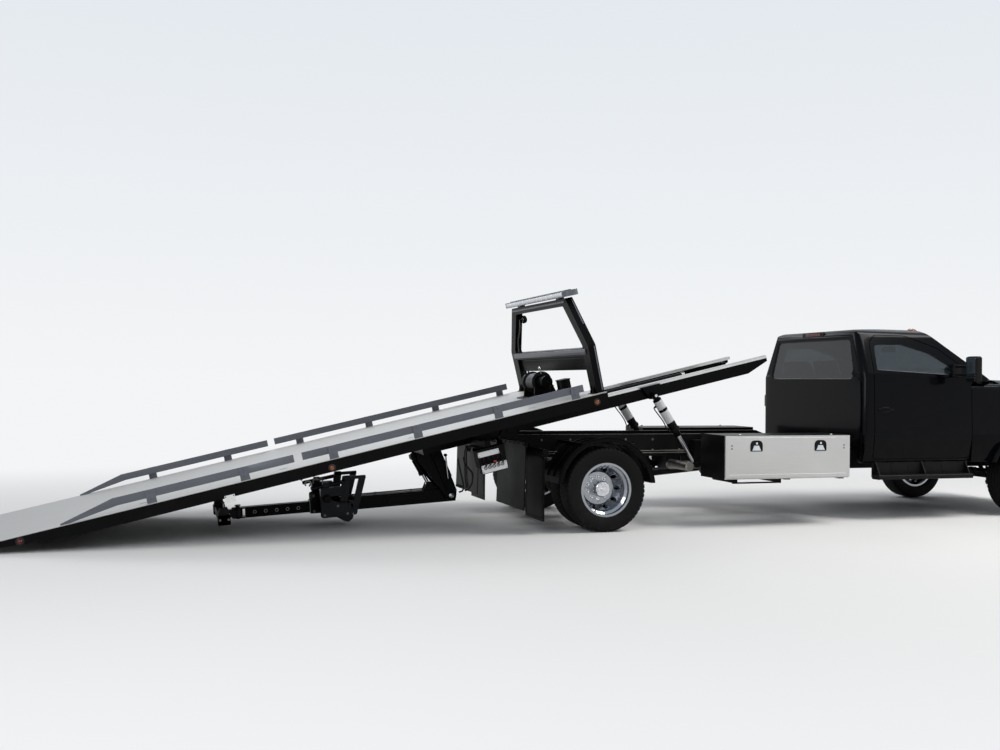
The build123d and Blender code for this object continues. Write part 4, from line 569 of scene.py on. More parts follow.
def makeFloor():
    mesh = bpy.data.meshes.new("studioFloor")
    h, z = floor["half"], floor["low"]
    mesh.from_pydata([(-h, -h, z), (h, -h, z), (h, h, z), (-h, h, z)], [], [(0, 1, 2, 3)])
    ground = bpy.data.objects.new("studioFloor", mesh)
    bpy.context.scene.collection.objects.link(ground)
    finish = bpy.data.materials.new("floorFinish")
    finish.use_nodes = True
    t = finish.node_tree
    t.nodes.clear()
    skin = addNode(t, "BsdfPrincipled", {"Base Color": floor["colour"], "Roughness": floor["rough"],
                                         "Specular IOR Level": 0.2})
    # far floor takes the backdrop's colour for the rays that see it: the share rises with the distance
    # from the middle, where distance along the truck counts 1 / stretch
    squeeze = addNode(t, "VectorMath", {0: objectPlace(t), 1: (1 / floor["stretch"], 1, 1)},
                      operation="MULTIPLY")
    away = addNode(t, "VectorMath", {0: squeeze.outputs[0]}, operation="LENGTH").outputs["Value"]
    near, far = floor["fade"]
    reach = addNode(t, "MapRange", {0: away, 1: near, 2: far}, interpolation_type="SMOOTHSTEP").outputs[0]
    glow = addNode(t, "Emission", {0: paleBack})
    share = addMath(t, "MULTIPLY", reach, seenRay(t))
    blend = addNode(t, "MixShader", {0: share, 1: skin.outputs[0], 2: glow.outputs[0]})
    addNode(t, "OutputMaterial", {0: blend.outputs[0]})
    mesh.materials.append(finish)


def makeWorld():
    # the backdrop as it is seen, and the softer light that it gives
    world = bpy.data.worlds.new("studioWorld")
    bpy.context.scene.world = world
    world.use_nodes = True
    t = world.node_tree
    t.nodes.clear()
    way = addNode(t, "TexCoord", {}).outputs["Generated"]
    height = addNode(t, "SeparateXYZ", {0: way}).outputs["Z"]
    ramp = addNode(t, "ValToRGB", {0: height})
    low, high = ramp.color_ramp.elements
    low.position, low.color = 0.0, paleBack
    high.position, high.color = 0.75, (0.62, 0.70, 0.80, 1)
    seen = addNode(t, "Background", {0: ramp.outputs[0], 1: 1.0})
    soft = addNode(t, "Background", {0: (0.93, 0.96, 1.0, 1), 1: 0.42})
    mix = addNode(t, "MixShader", {0: seenRay(t), 1: soft.outputs[0], 2: seen.outputs[0]})
    addNode(t, "OutputWorld", {0: mix.outputs[0]})


def makeLamps():
    for name, v in lamps.items():
        data = bpy.data.lights.new(name, "AREA")
        data.shape, data.size, data.size_y = "RECTANGLE", *v["size"]
        data.energy, data.color = v["power"], v["colour"]
        lamp = bpy.data.objects.new(name, data)
        bpy.context.scene.collection.objects.link(lamp)
        lamp.location = v["place"]
        lamp.rotation_euler = (Vector(v["aim"]) - Vector(v["place"])).to_track_quat("-Z", "Y").to_euler()


makeCamera()
makeFloor()
makeWorld()
makeLamps()
bpy.context.scene.view_settings.view_transform = "Standard"
print("studio set")

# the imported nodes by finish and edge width; a name that ends in _ stands for its right and left nodes
nodeLooks = {
    ("chassisPaint", 0.002): "frame_rails chassis_brackets",
    ("chassisPaint", 0.001): "springs drive_shaft",
    ("castIron", 0.008): "engine_block",
    ("castIron", 0.004): "rear_axle front_axle",
    ("castIron", 0.003): "knuckle_",
    ("castIron", 0.002): "winch_drum",
    ("pipeSteel", 0.002): "exhaust",
    ("moulding", 0.008): "mirror_",
    ("moulding", 0.004): "fuel_tank cab_steps",
    ("moulding", 0.003): "grille",
    ("cabPaint", 0.012): "hood",
    ("cabPaint", 0.010): "cab_shell",
    ("cabPaint", 0.008): "front_clip",
    ("cabPaint", 0.004): "door_",
    ("brightTrim", 0.006): "front_bumper",
    ("lampGlass", 0.004): "lamps",
    ("dashPlastic", 0.01): "dashboard",
    ("bedPaint", 0.004): "headboard",
    ("bedPaint", 0.003): "lift_boom lift_stinger",
    ("bedPaint", 0.002): "toolboxes tilt_frame slide_barrel tilt_barrels bed_frame winch_frame lift_barrel",
    ("fenderPlastic", 0.002): "rear_fenders",
    ("pistonRod", 0.001): "slide_rod tilt_rods lift_rod",
    ("deckPaint", 0.0015): "deck_plate",
    ("railAlloy", 0.004): "light_bar",
    ("railAlloy", 0.002): "side_rails",
    ("armPaint", 0.003): "lift_crossbar",
    ("rearGlass", 0.0): "cab_glass",
    ("sideGlass", 0.0): "door_glass_",
    ("polishedAlloy", 0.001): "rim_front_ rims_rear_",
    ("doorAlloy", 0.002): "toolbox_door_"}
for (finish, width), names in nodeLooks.items():
    for node in names.split():
        for name in ([node + "right", node + "left"] if node.endswith("_") else [node]):
            dressNode(name, finish, width)
print("nodes dressed")

# wheels

tyreShape = dict(radius=0.405, halfWidth=0.113, bead=0.2485, lip=0.262,
                 grooves=(-0.062, -0.021, 0.021, 0.062), grooveHalf=0.0048, depth=0.0105, shoulder=0.080,
                 pitches=54, cutAt=(0.02, 0.055, 0.20, 0.235), sideSteps=9)


def tyreProfile():
    # rows (along the axle, radius, kind) from the left bead over the tread to the right bead: the side's
    # bulge goes as t(1 - t) with a bell-shaped ridge by the rim, and the crown falls as the square of the
    # distance from the middle; kind 1 is a ring groove's floor, 2 and 3 the shoulder blocks, 4 the ribs
    s = tyreShape
    t = np.linspace(0, 1, s["sideSteps"])
    r = s["lip"] + (0.391 - s["lip"]) * t
    a = 0.096 + 0.012 * t + 0.042 * t * (1 - t) + 0.0018 * np.exp(-((t - 0.12) / 0.05) ** 2)
    a = np.minimum(a, s["halfWidth"] - 0.0003)
    kindLeft, kindRight = 0 * t, 0 * t
    kindLeft[-1], kindRight[-1] = 2, 3
    g = s["grooveHalf"]
    edges = [(c + d, k) for c in s["grooves"] for d, k in ((-g, 4), (-g * 0.7, 1), (g * 0.7, 1), (g, 4))]
    marks = np.array([(-0.107, 2), (-0.101, 2), (-s["shoulder"], 2)] + edges + [(s["shoulder"], 3),
            (0.101, 3), (0.107, 3)])
    along, kind = marks[:, 0], marks[:, 1]
    crown = s["radius"] - 0.0035 * (along / 0.1) ** 2 - 0.009 * np.clip((np.abs(along) - 0.098) / 0.009, 0,
            1) ** 2
    left = np.stack([-a, r, kindLeft], -1)
    right = np.stack([a, r, kindRight], -1)[::-1]
    beads = [(-0.0837, s["bead"], 0), (-0.0837, s["lip"] - 0.002, 0)], [(0.0837, s["lip"] - 0.002, 0),
            (0.0837, s["bead"], 0)]
    return np.vstack([beads[0], left, np.stack([along, crown, kind], -1), right, beads[1]])


def tyrePart(centre):
    # the profile turned about the axle; the radius falls by the groove's depth where a ring groove or a
    # cross cut runs
    s = tyreShape
    prof = tyreProfile()
    c = s["cutAt"]
    step = np.append(c, np.add(c, 0.5))
    low = np.array([0, 1, 1, 0, 0, 0, 0, 0])
    turn = (np.arange(s["pitches"])[:, None] + step).reshape(-1) / s["pitches"] * 2 * math.pi
    cutLeft, cutRight = np.tile(low, s["pitches"]), np.tile(np.roll(low, 4), s["pitches"])
    kind = prof[:, 2][:, None]
    deep = (kind == 1) * 1.0 + (kind == 2) * cutLeft * 0.85 + (kind == 3) * cutRight * 0.85
    radius = prof[:, 1][:, None] - s["depth"] * deep
    along = prof[:, 0][:, None] + 0 * turn
    p = np.stack([radius * np.cos(turn), along, radius * np.sin(turn)], -1)
    return sheetPart(p + np.asarray(centre, float), closeRows=True, closeCols=True)


def nutCover(centre, side, radius=0.0186, height=0.027):
    # six flats under a dome, standing out from the disc: radius by height, with every second corner cut back
    c = np.asarray(centre, float)
    t = np.linspace(0, 2 * math.pi, 12, endpoint=False)
    flat = 1 - 0.09 * (np.arange(12) % 2)
    rows = [(0.0, 1.22, 0), (0.10, 1.22, 0), (0.13, 1.0, 1), (0.60, 1.0, 1), (0.80, 0.88, 0),
            (0.94, 0.60, 0), (1.0, 0.20, 0)]
    pts = [np.stack([radius * r * (flat ** f) * np.cos(t), side * height * h + 0 * t,
                     radius * r * (flat ** f) * np.sin(t)], -1) + c for h, r, f in rows]
    return solidPart(pts)


# axles: place, track, tyres' offsets, tyre node, rim node, and how far the disc and the hub stand out
wheelTrim = dict(
    nuts=10, nutCircle=0.1125, hubBolts=8, hubBoltCircle=0.050, stemAt=0.205,
    axles=((wheelBase, frontTrack, (0.0,), "tyre_front_", "rim_front_", 0.130, 0.192),
           (0.0, rearTrack, (-0.130, 0.130), "tyres_rear_", "rims_rear_", 0.018, 0.148)))


def makeWheels():
    w = wheelTrim
    for side, name in bothSides:
        for x, track, tyres, node, rim, seat, out in w["axles"]:
            body = nodes[rim + name]["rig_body"]
            centre = onTruck((x, side * track, wheelRadius))
            piece = makePiece("tread" + node + name, body, [tyrePart(centre + [0, dy, 0]) for dy in tyres],
                              "tyreRubber", smooth=38)
            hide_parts(node + name)
            kit = Kit(body, inWorld)
            bright = kit.piece("hubTrim" + node + name, "brightTrim", 40)
            for k in range(w["nuts"]):
                t = 2 * math.pi * k / w["nuts"] + math.pi / 2
                bright(nutCover(centre + [w["nutCircle"] * math.cos(t), side * seat,
                        w["nutCircle"] * math.sin(t)], side))
            # the hub's cover: (out from the wheel's plane, radius)
            cap = [(seat, 0.0), (seat, 0.0785), (out - 0.017, 0.0782), (out - 0.005, 0.0745),
                   (out + 0.0015, 0.068), (out + 0.0020, 0.0645), (out + 0.0060, 0.0630),
                   (out + 0.0060, 0.0365), (out + 0.0030, 0.0345), (out + 0.0030, 0.0265),
                   (out + 0.0120, 0.0240), (out + 0.0140, 0.0180), (out + 0.0145, 0.0)]
            bright(turnPart([(side * a, r) for a, r in cap], centre, 1, 56))
            for k in range(w["hubBolts"]):
                t = 2 * math.pi * (k + 0.5) / w["hubBolts"]
                spot = centre + [w["hubBoltCircle"] * math.cos(t), side * (out + 0.006),
                                 w["hubBoltCircle"] * math.sin(t)]
                bright(boltHead(spot, (0, side, 0), 0.0058, 0.0065))
            stem = centre + [0.0, side * (0.020 if x == 0.0 else 0.070), w["stemAt"]]
            bright(rodPart(stem, stem + [0, side * 0.045, 0.006], 0.0045, 10))
            kit.make()


makeWheels()
print("wheels made")

# deck and sides

deckTrim = dict(slotRows=(1.02,), slotPitch=1.200, slotFirst=0.10, slotLast=-4.60, slotLength=0.075,
                slotWidth=0.020, rim=0.008, seamFirst=0.810, seamLast=-4.9,
                seamPitch=1.25, seamWidth=0.006, seamHalf=1.19)


def ovalRing(x, y, h, length, width):
    # points of a long oval: two half circles held apart along the bed
    t = np.linspace(0.001, 2 * math.pi + 0.001, 28, endpoint=False)
    return np.stack([x + np.sign(np.cos(t)) * (length - width) / 2 + width / 2 * np.cos(t),
                     y + width / 2 * np.sin(t), h + 0 * t], -1)


def slotRim(x, y, h, length, width, rim):
    # a raised oval frame: the oval grows from the slot's edge to the rim's outer edge while its height
    # rises and falls
    rows = [ovalRing(x, y, h + up, length + 2 * grow, width + 2 * grow) for grow,
            up in ((0.0, -0.002), (0.0, 0.0020), (rim * 0.45, 0.0026), (rim, 0.0014), (rim * 1.05, -0.002))]
    return sheetPart(np.stack(rows), closeRows=True, closeCols=True)


def slotFloor(x, y, h, length, width):
    rows = [ovalRing(x, y, h + up, length, width) for up in (0.0006, -0.002)]
    return solidPart(rows)


def makeDeckTrim():
    d = deckTrim
    h = deckTop
    kit = Kit("bed", onBed)
    rims = kit.piece("deckKeyRims", "deckPaint", 40)
    floors = kit.piece("deckKeyFloors", "moulding", 30)
    for row in d["slotRows"]:
        for x in np.arange(d["slotFirst"], d["slotLast"], -d["slotPitch"]):
            for y in (row, -row):
                rims(slotRim(x, y, h, d["slotLength"], d["slotWidth"], d["rim"]))
                floors(slotFloor(x, y, h, d["slotLength"], d["slotWidth"]))
    # weld seams across the deck: a low ridge whose height ripples along its length
    seams = kit.piece("deckSeams", "deckPaint", 60)
    across = np.linspace(-d["seamHalf"], d["seamHalf"], 90)
    for x in np.arange(d["seamFirst"] - d["seamPitch"], d["seamLast"], -d["seamPitch"]):
        rows = [np.stack([x + k * d["seamWidth"] / 2 + 0 * across, across,
                          h - 0.001 + (1 - abs(k)) * (0.0022 + 0.0005 * np.sin(across * 260))], -1)
                for k in (-1, -0.5, 0, 0.5, 1)]
        seams(sheetPart(np.stack(rows), closeRows=True))
    kit.make()


sideTrim = dict(y=1.219, amber=(-1.906, 0.684), red=-4.49, label=-2.81, lampHeight=0.146, lampRadius=0.026,
                redHeight=0.176, boltRow=0.196, boltFirst=-4.0, boltLast=0.78, boltPitch=0.40,
                posts=6, postFirst=0.492, postPitch=0.785, postBolts=(0.262, 0.318), postFace=1.199)


def markerLamp(lenses, rings, x, side, h):
    # a round lens in a rubber ring, both turned from (out from the side, radius)
    y, r = sideTrim["y"], sideTrim["lampRadius"]
    lens = [(0.000, 0.0), (0.000, r * 0.80), (0.010, r * 0.78), (0.015, r * 0.62), (0.018, r * 0.34),
            (0.019, 0.0)]
    ring = [(-0.002, r * 1.32), (0.005, r * 1.30), (0.008, r * 1.12), (0.007, r * 0.86), (-0.002, r * 0.80)]
    lenses(turnPart([(side * a, b) for a, b in lens], (x, side * y, h), 1, 28))
    rings(turnPart([(side * a, b) for a, b in ring], (x, side * y, h), 1, 28, closed=True))


def makeSideTrim():
    s = sideTrim
    kit = Kit("bed", onBed)
    rubber = kit.piece("bedLampRings", "hoseRubber", 50)
    amber = kit.piece("bedAmberLamps", "amberLens", 50)
    red = kit.piece("bedRedLamps", "redLens", 50)
    bolts = kit.piece("bedSideBolts", "bedPaint")
    plates = kit.piece("bedPlates", "labelWhite", 30)
    for side in (-1, 1):
        for x in s["amber"]:
            markerLamp(amber, rubber, x, side, s["lampHeight"])
        markerLamp(red, rubber, s["red"], side, s["redHeight"])
        # a blank plate hung under the side channel
        plate = roundedBox(-0.044, 0.068, 0.044, 0.132, 0.006)
        plates(slabPart(plate + [s["label"], 0], side * (s["y"] - 0.0005), side * (s["y"] + 0.0015), 1))
        for dx in (-0.034, 0.034):
            bolts(boltHead((s["label"] + dx, side * (s["y"] + 0.0015), 0.122), (0, side, 0), 0.004, 0.003))
        for x in np.arange(s["boltFirst"], s["boltLast"], s["boltPitch"]):
            bolts(boltHead((x, side * s["y"], s["boltRow"]), (0, side, 0), 0.0075, 0.005))
    # the rail posts: two bolts and a weld bead at the foot of each
    posts = kit.piece("railPostBolts", "railAlloy")
    for k in range(s["posts"]):
        x = s["postFirst"] - s["postPitch"] * k
        for side in (-1, 1):
            for h in s["postBolts"]:
                posts(boltHead((x, side * s["postFace"], h), (0, side, 0), 0.010, 0.008))
            t = np.arange(24)
            bead = np.stack([x - 0.042 + 0.084 * t / 23, 0 * t + side * 1.200,
                             0.2215 + 0.0006 * np.sin(t * 2.2)], -1)
            posts(carryPart(bead, circleSection(0.0042, 8)))
    kit.make()


makeDeckTrim()
makeSideTrim()
print("deck and sides made")

# headboard, light bar and winch

headTrim = dict(rear=0.730, ledge=(0.385, 0.437), ledgeHalf=1.085, crown=(0.914, 0.934), crownHalf=0.800,
                panelLow=0.240, panelTop=0.352, panelHalf=0.975, lampSpot=(0.795, 0.690, 0.812))
lightBar = dict(x=0.770, depth=0.160, half=0.870, low=0.975, top=1.021, modules=12, gap=0.008, ribs=9,
                ribDepth=0.0022, out=0.005)


def ribbedLens(y0, y1, low, top, face, side, ribs, depth, out):
    # a lens whose front stands out by (1 - v^6) * (out + depth * sin(u)): v over its height, u along it
    u = np.linspace(0, 1, ribs * 8 + 1)
    v = np.array([-1, -0.97, -0.9, -0.6, 0, 0.6, 0.9, 0.97, 1])
    edge = 1 - np.abs(2 * u - 1)[None, :] ** 40
    bulge = (1 - np.abs(v)[:, None] ** 6) * edge
    x = face + side * bulge * (out + depth * np.sin(u * ribs * 2 * math.pi)[None, :])
    y = (y0 + (y1 - y0) * u)[None, :] + 0 * x
    h = ((low + top) / 2 + (top - low) / 2 * v)[:, None] + 0 * x
    front = np.stack([x, y, h], -1)
    back = front.copy()
    back[..., 0] = face - side * 0.003
    return sheetPart(np.concatenate([front, back[::-1]]), closeRows=True)


def makeLightBar():
    b = lightBar
    kit = Kit("bed", onBed)
    lenses = kit.piece("lightBarLenses", "barLens", 40, weld=1e-5)
    frames = kit.piece("lightBarFrames", "railAlloy", 30)
    pitch = 2 * b["half"] / b["modules"]
    for side in (-1, 1):
        face = b["x"] + side * b["depth"] / 2
        for k in range(b["modules"]):
            y0 = -b["half"] + k * pitch + b["gap"] / 2
            lenses(ribbedLens(y0, y0 + pitch - b["gap"], deckTop + b["low"], deckTop + b["top"], face, side,
                              b["ribs"], b["ribDepth"], b["out"]))
        for h in (b["low"] - 0.003, b["top"] + 0.003):
            lip = [(face + side * 0.002, y, deckTop + h) for y in (-b["half"], b["half"])]
            frames(carryPart(lip, boxSection(0.003, 0.0022)))
    # cooling fins along the top, and the clamps' bolts
    for k in range(5):
        x = b["x"] - 0.032 + 0.016 * k
        fin = [(x - 0.002, deckTop + 1.026), (x + 0.002, deckTop + 1.026), (x + 0.0012, deckTop + 1.0345),
               (x - 0.0012, deckTop + 1.0345)]
        frames(slabPart(fin, -b["half"] + 0.02, b["half"] - 0.02, 1))
    for y in (-0.60, 0.60):
        for x in (b["x"] - 0.022, b["x"] + 0.022):
            frames(boltHead((x, y + 0.052, deckTop + 0.955), (0, 0, 1), 0.007, 0.006))
    kit.make()


def makeHeadTrim():
    t = headTrim
    z = deckTop
    x = t["rear"]
    kit = Kit("bed", onBed)
    bright = kit.piece("headMouldings", "railAlloy", 40)
    dark = kit.piece("headPlates", "bedPaint")
    bolts = kit.piece("headBolts", "chassisPaint")
    glass = kit.piece("headLampGlass", "lampGlass", 40)
    wire = kit.piece("headConduit", "pipeSteel", 60)
    # ledge and crown mouldings: a rounded lip section carried across
    for (low, top), half in ((t["ledge"], t["ledgeHalf"]), (t["crown"], t["crownHalf"])):
        lip = roundedOutline([(x + 0.001, z + low - 0.002), (x - 0.007, z + low),
                (x - 0.011, z + (low + top) / 2), (x - 0.007, z + top), (x + 0.001, z + top + 0.002)],
                0.003)
        bright(slabPart(lip, -half, half, 1))
    # edge moulding on the outside of each leg
    edge = roundedOutline([(1.1515, z + 0.02), (1.1695, z + 0.452), (0.842, z + 0.938)], [0, 0.09, 0], 9)
    for side in (-1, 1):
        path = setOn((edge + [0.002, 0]) * [side, 1], 0, 0.792)
        bright(carryPart(path, boxSection(0.0025, 0.006), up=(1, 0, 0)))
    # the blank panel: a raised border and its rivets
    for face, side in ((0.764, -1), (0.776, 1)):
        o = np.array([(-t["panelHalf"], t["panelLow"]), (t["panelHalf"], t["panelLow"]),
                      (t["panelHalf"], t["panelTop"]), (-t["panelHalf"], t["panelTop"])])
        rows = []
        for cut, rise in ((0.0, -0.001), (0.0, 0.004), (0.010, 0.0045), (0.012, 0.001), (0.012, -0.001)):
            c = roundedOutline(o - np.sign(o - [0, 0.296]) * cut, 0.014)
            rows.append(np.stack([face + side * rise + 0 * c[:, 0], c[:, 0], z + c[:, 1]], -1))
        dark(sheetPart(np.stack(rows), closeRows=True, closeCols=True))
        for y in (-0.945, 0.945):
            for h in (t["panelLow"] + 0.026, t["panelTop"] - 0.026):
                bolts(boltHead((face, y, z + h), (side, 0, 0), 0.005, 0.004))
    # foot plates with bolts, and gussets behind each leg
    for side in (-1, 1):
        for y in (1.02, 1.13):
            bolts(boltHead((0.722, side * y, z), (0, 0, 1), 0.011, 0.009))
        foot = [(0.700, side * 0.995), (0.735, side * 0.995), (0.735, side * 1.155), (0.700, side * 1.155)]
        dark(slabPart(foot, z - 0.001, z + 0.006, 2))
        gusset = [(0.7315, z + 0.004), (0.702, z + 0.006), (0.7315, z + 0.090)]
        for y in (1.045, 1.105):
            dark(slabPart(gusset, side * y - 0.004, side * y + 0.004, 1))
    # work lamp on the left, with its bracket and the conduit down the leg
    a, b, h = t["lampSpot"]
    h += z
    dark(turnPart([(0.030, 0.0), (0.030, 0.030), (0.022, 0.040), (-0.006, 0.046), (-0.014, 0.044),
                   (-0.014, 0.0)], (a, b, h), 0, 28))
    glass(turnPart([(-0.012, 0.0), (-0.012, 0.040), (-0.018, 0.036), (-0.021, 0.0)], (a, b, h), 0, 28))
    dark(rodPart((a + 0.01, b + 0.03, h), (a - 0.02, b + 0.115, h), 0.008, 10))
    drop = [(0.775, 0.775, h + 0.01), (0.765, 0.815, z + 0.70), (0.757, 0.905, z + 0.60),
            (0.757, 0.955, z + 0.52), (0.757, 0.985, z + 0.44)]
    wire(tubePart(drop, 0.0065, 10, 40, up=(1, 0, 0)))
    kit.make()


winchTrim = dict(x=0.560, h=0.370, ropeRadius=0.0062, ropeOn=0.0835, half=0.132, turns=21)


def makeWinchTrim():
    w = winchTrim
    # rope wound in a helix: (radius cos, along, radius sin), moving along by a rope's width a turn
    t = np.linspace(0, 2 * math.pi * w["turns"], w["turns"] * 40)
    along = -w["half"] + 2 * w["half"] * t / t[-1]
    coil = np.stack([w["x"] + w["ropeOn"] * np.cos(t), along, w["h"] + w["ropeOn"] * np.sin(t)], -1)
    makePiece("winchRope", "winch_drum", [placed(carryPart(coil, circleSection(w["ropeRadius"], 8),
            up=(0, 1, 0)), onBed)], "wireRope", smooth=60)
    x, h = w["x"], w["h"]
    kit = Kit("bed", onBed)
    dark = kit.piece("winchCovers", "bedPaint", 35, 0.0015)
    bright = kit.piece("winchBright", "pistonRod", 45)
    steel = kit.piece("winchPipes", "chassisPaint", 45)
    # gearbox: stepped cover, ribs and bolts; motor: flange, body and ports
    gear = [(-0.306, 0.0), (-0.306, 0.036), (-0.300, 0.042), (-0.290, 0.044), (-0.286, 0.062),
            (-0.276, 0.0635), (-0.262, 0.0635), (-0.258, 0.0605), (-0.240, 0.0605)]
    dark(turnPart(gear, (x, 0, h), 1, 36))
    for k in range(6):
        c = -0.246 + 0.011 * k
        dark(turnPart([(c, 0.058), (c, 0.0645), (c + 0.005, 0.0645), (c + 0.005, 0.058)], (x, 0, h), 1, 36,
                      closed=True))
    for k in range(8):
        a = 2 * math.pi * (k + 0.5) / 8
        dark(boltHead((x + 0.053 * math.cos(a), -0.286, h + 0.053 * math.sin(a)), (0, -1, 0), 0.0055,
                      0.006))
        dark(boltHead((x + 0.080 * math.cos(a), 0.245, h + 0.080 * math.sin(a)), (0, 1, 0), 0.0065, 0.006))
    motor = [(0.245, 0.0), (0.245, 0.060), (0.252, 0.064), (0.290, 0.064), (0.298, 0.058), (0.300, 0.040),
             (0.304, 0.038), (0.304, 0.0)]
    dark(turnPart(motor, (x, 0, h), 1, 36))
    for dx in (-0.022, 0.022):
        steel(rodPart((x + dx, 0.272, h + 0.055), (x + dx, 0.272, h + 0.088), 0.011, 12))
    # pressure pipes from the motor down to the deck plate
    for k, dx in enumerate((-0.022, 0.022)):
        pipe = [(x + dx, 0.272, h + 0.080), (x + dx, 0.285, h + 0.105), (x + dx + 0.03, 0.325, h + 0.075),
                (x + 0.105, 0.335 + 0.02 * k, h - 0.05), (x + 0.120, 0.335 + 0.02 * k, h - 0.146)]
        steel(tubePart(pipe, 0.0075, 10, 44, up=(1, 0.2, 0)))
    # tension roller between the cheeks, with a bright lever on the gearbox
    bright(rodPart((x + 0.040, -0.153, h + 0.052), (x + 0.040, 0.153, h + 0.052), 0.013, 20))
    bright(rodPart((x - 0.010, -0.200, h + 0.060), (x - 0.028, -0.232, h + 0.140), 0.006, 12))
    bright(turnPart([(-0.016, 0.0), (-0.013, 0.009), (0, 0.0155), (0.013, 0.009), (0.016, 0.0)],
                    (x - 0.030, -0.236, h + 0.150), 2, 20))
    for y in (-0.165, 0.165):
        for dx in (-0.115, 0.115):
            steel(boltHead((x + dx, y + math.copysign(0.030, y), deckTop + 0.012), (0, 0, 1), 0.010, 0.009))
    # valve box and its stand beside the winch
    box = roundedBox(0.605, -0.585, 0.705, -0.435, 0.012)
    dark(slabPart(box, deckTop, deckTop + 0.150, 2))
    lid = roundedBox(0.600, -0.590, 0.710, -0.430, 0.014)
    dark(slabPart(lid, deckTop + 0.146, deckTop + 0.156, 2))
    for y in (-0.56, -0.51, -0.46):
        steel(rodPart((0.610, y, deckTop + 0.055), (0.588, y, deckTop + 0.055), 0.009, 12))
    stand = [(0.540, deckTop), (0.590, deckTop), (0.578, deckTop + 0.112), (0.552, deckTop + 0.112)]
    dark(slabPart(stand, -0.402, -0.394, 1))
    dark(blockPart((0.548, -0.425, deckTop + 0.106), (0.582, -0.372, deckTop + 0.113)))
    kit.make()


makeHeadTrim()
makeLightBar()
makeWinchTrim()
print("headboard and winch made")

# subframe, controls and cylinders

controlTrim = dict(x=-0.421, y=-1.124, pitch=0.042, levers=5, leverLow=-0.212, lean=math.radians(55),
                   reach=0.055, upper=(-0.553, -0.344, -0.108, -0.060),
                   lower=(-0.542, -0.291, -0.262, -0.187), square=(-0.418, -0.388, -0.187, -0.165))


def makeControls():
    c = controlTrim
    y = c["y"]
    kit = Kit("subframe", onBed)
    levers = kit.piece("controlLevers", "bareSteel", 45)
    casing = kit.piece("controlCase", "bedPaint", 35, 0.002)
    pale = kit.piece("controlPlates", "paleEnamel", 35, 0.0008)
    rings = kit.piece("controlRings", "hoseRubber", 45)
    red = kit.piece("controlSquare", "redEnamel", 35, 0.001)
    for x0, x1, low, top in (c["upper"], c["lower"]):
        plate = roundedBox(x0, low, x1, top, 0.008)
        pale(slabPart(plate, y - 0.0025, y + 0.001, 1))
    for k in range(c["levers"]):
        x = c["x"] + (k - (c["levers"] - 1) / 2) * c["pitch"]
        h = c["leverLow"]
        ring = [(y + 0.001, 0.0175), (y - 0.005, 0.0170), (y - 0.007, 0.0150), (y - 0.0065, 0.0120),
                (y - 0.003, 0.0112), (y + 0.001, 0.0110)]
        rings(turnPart(ring, (x, 0, h), 1, 28, closed=True))
        # lever leaning out of the plate, with its ball
        foot = np.array([x, y, h])
        tip = foot + c["reach"] * np.array([0.0, -math.sin(c["lean"]), math.cos(c["lean"])])
        levers(rodPart(foot, tip, 0.0042, 10))
        ball = [(-0.012, 0.0), (-0.0105, 0.0065), (-0.005, 0.0115), (0.0, 0.0128), (0.006, 0.0112),
                (0.0105, 0.0066), (0.012, 0.0)]
        rings(turnPart(ball, tip, 2, 20))
    # casing that carries the lower plate, under the valve bank
    case = roundedBox(-0.545, -0.268, -0.285, -0.170, 0.012)
    casing(slabPart(case, y, y + 0.070, 1))
    x0, x1, low, top = c["square"]
    red(slabPart(roundedBox(x0, low, x1, top, 0.003), y - 0.006, y, 1))
    # plate screws, and the pipes from the valves along the arm to the mast
    screws = kit.piece("controlScrews", "bareSteel")
    pipes = kit.piece("controlPipes", "hoseRubber", 60)
    for x0, x1, low, top in (c["upper"], c["lower"]):
        for x in (x0 + 0.010, x1 - 0.010):
            for h in (low + 0.010, top - 0.010):
                screws(boltHead((x, y - 0.0025, h), (0, -1, 0), 0.004, 0.003))
    for k in range(4):
        s = 0.018 * k
        run = [(-0.470 + s, -0.992, -0.160), (-0.470 + s, -0.965, -0.158),
               (-0.468 + s, -0.930, -0.100 - 0.2 * s), (-0.468 + s, -0.80, -0.052),
               (-0.468 + s, -0.60, -0.050), (-0.470 + s, -0.50, -0.054), (-0.490 + s, -0.452, -0.10)]
        if k < 2:
            run += [(-0.520 + s, -0.446, -0.24), (-0.545 + s, -0.440, -0.38), (-0.540 + s, -0.40, -0.455),
                    (-0.545 + s, -0.30, -0.470), (-0.560 + s, -0.18, -0.462), (-0.572 + s, -0.135, -0.455)]
        else:
            run += [(-0.492 + s, -0.436, -0.06 - s), (-0.50 + s, -0.414, -0.048)]
        pipes(tubePart(run, 0.0068, 10, 90, up=(1, 0.3, 0.1)))
    # the two pipes that loop beside the mast
    for x0, out in ((-0.575, 0.0), (-0.512, 0.055)):
        loop = [(x0, -0.440, -0.150), (x0, -0.440, -0.230), (x0 + out * 0.9, -0.440, -0.330),
                (x0 + out * 0.5, -0.440, -0.425), (x0 - 0.02, -0.440, -0.475), (x0 - 0.05, -0.410, -0.487)]
        pipes(tubePart(loop, 0.0085, 10, 60, up=(0, 1, 0.02)))
    kit.make()


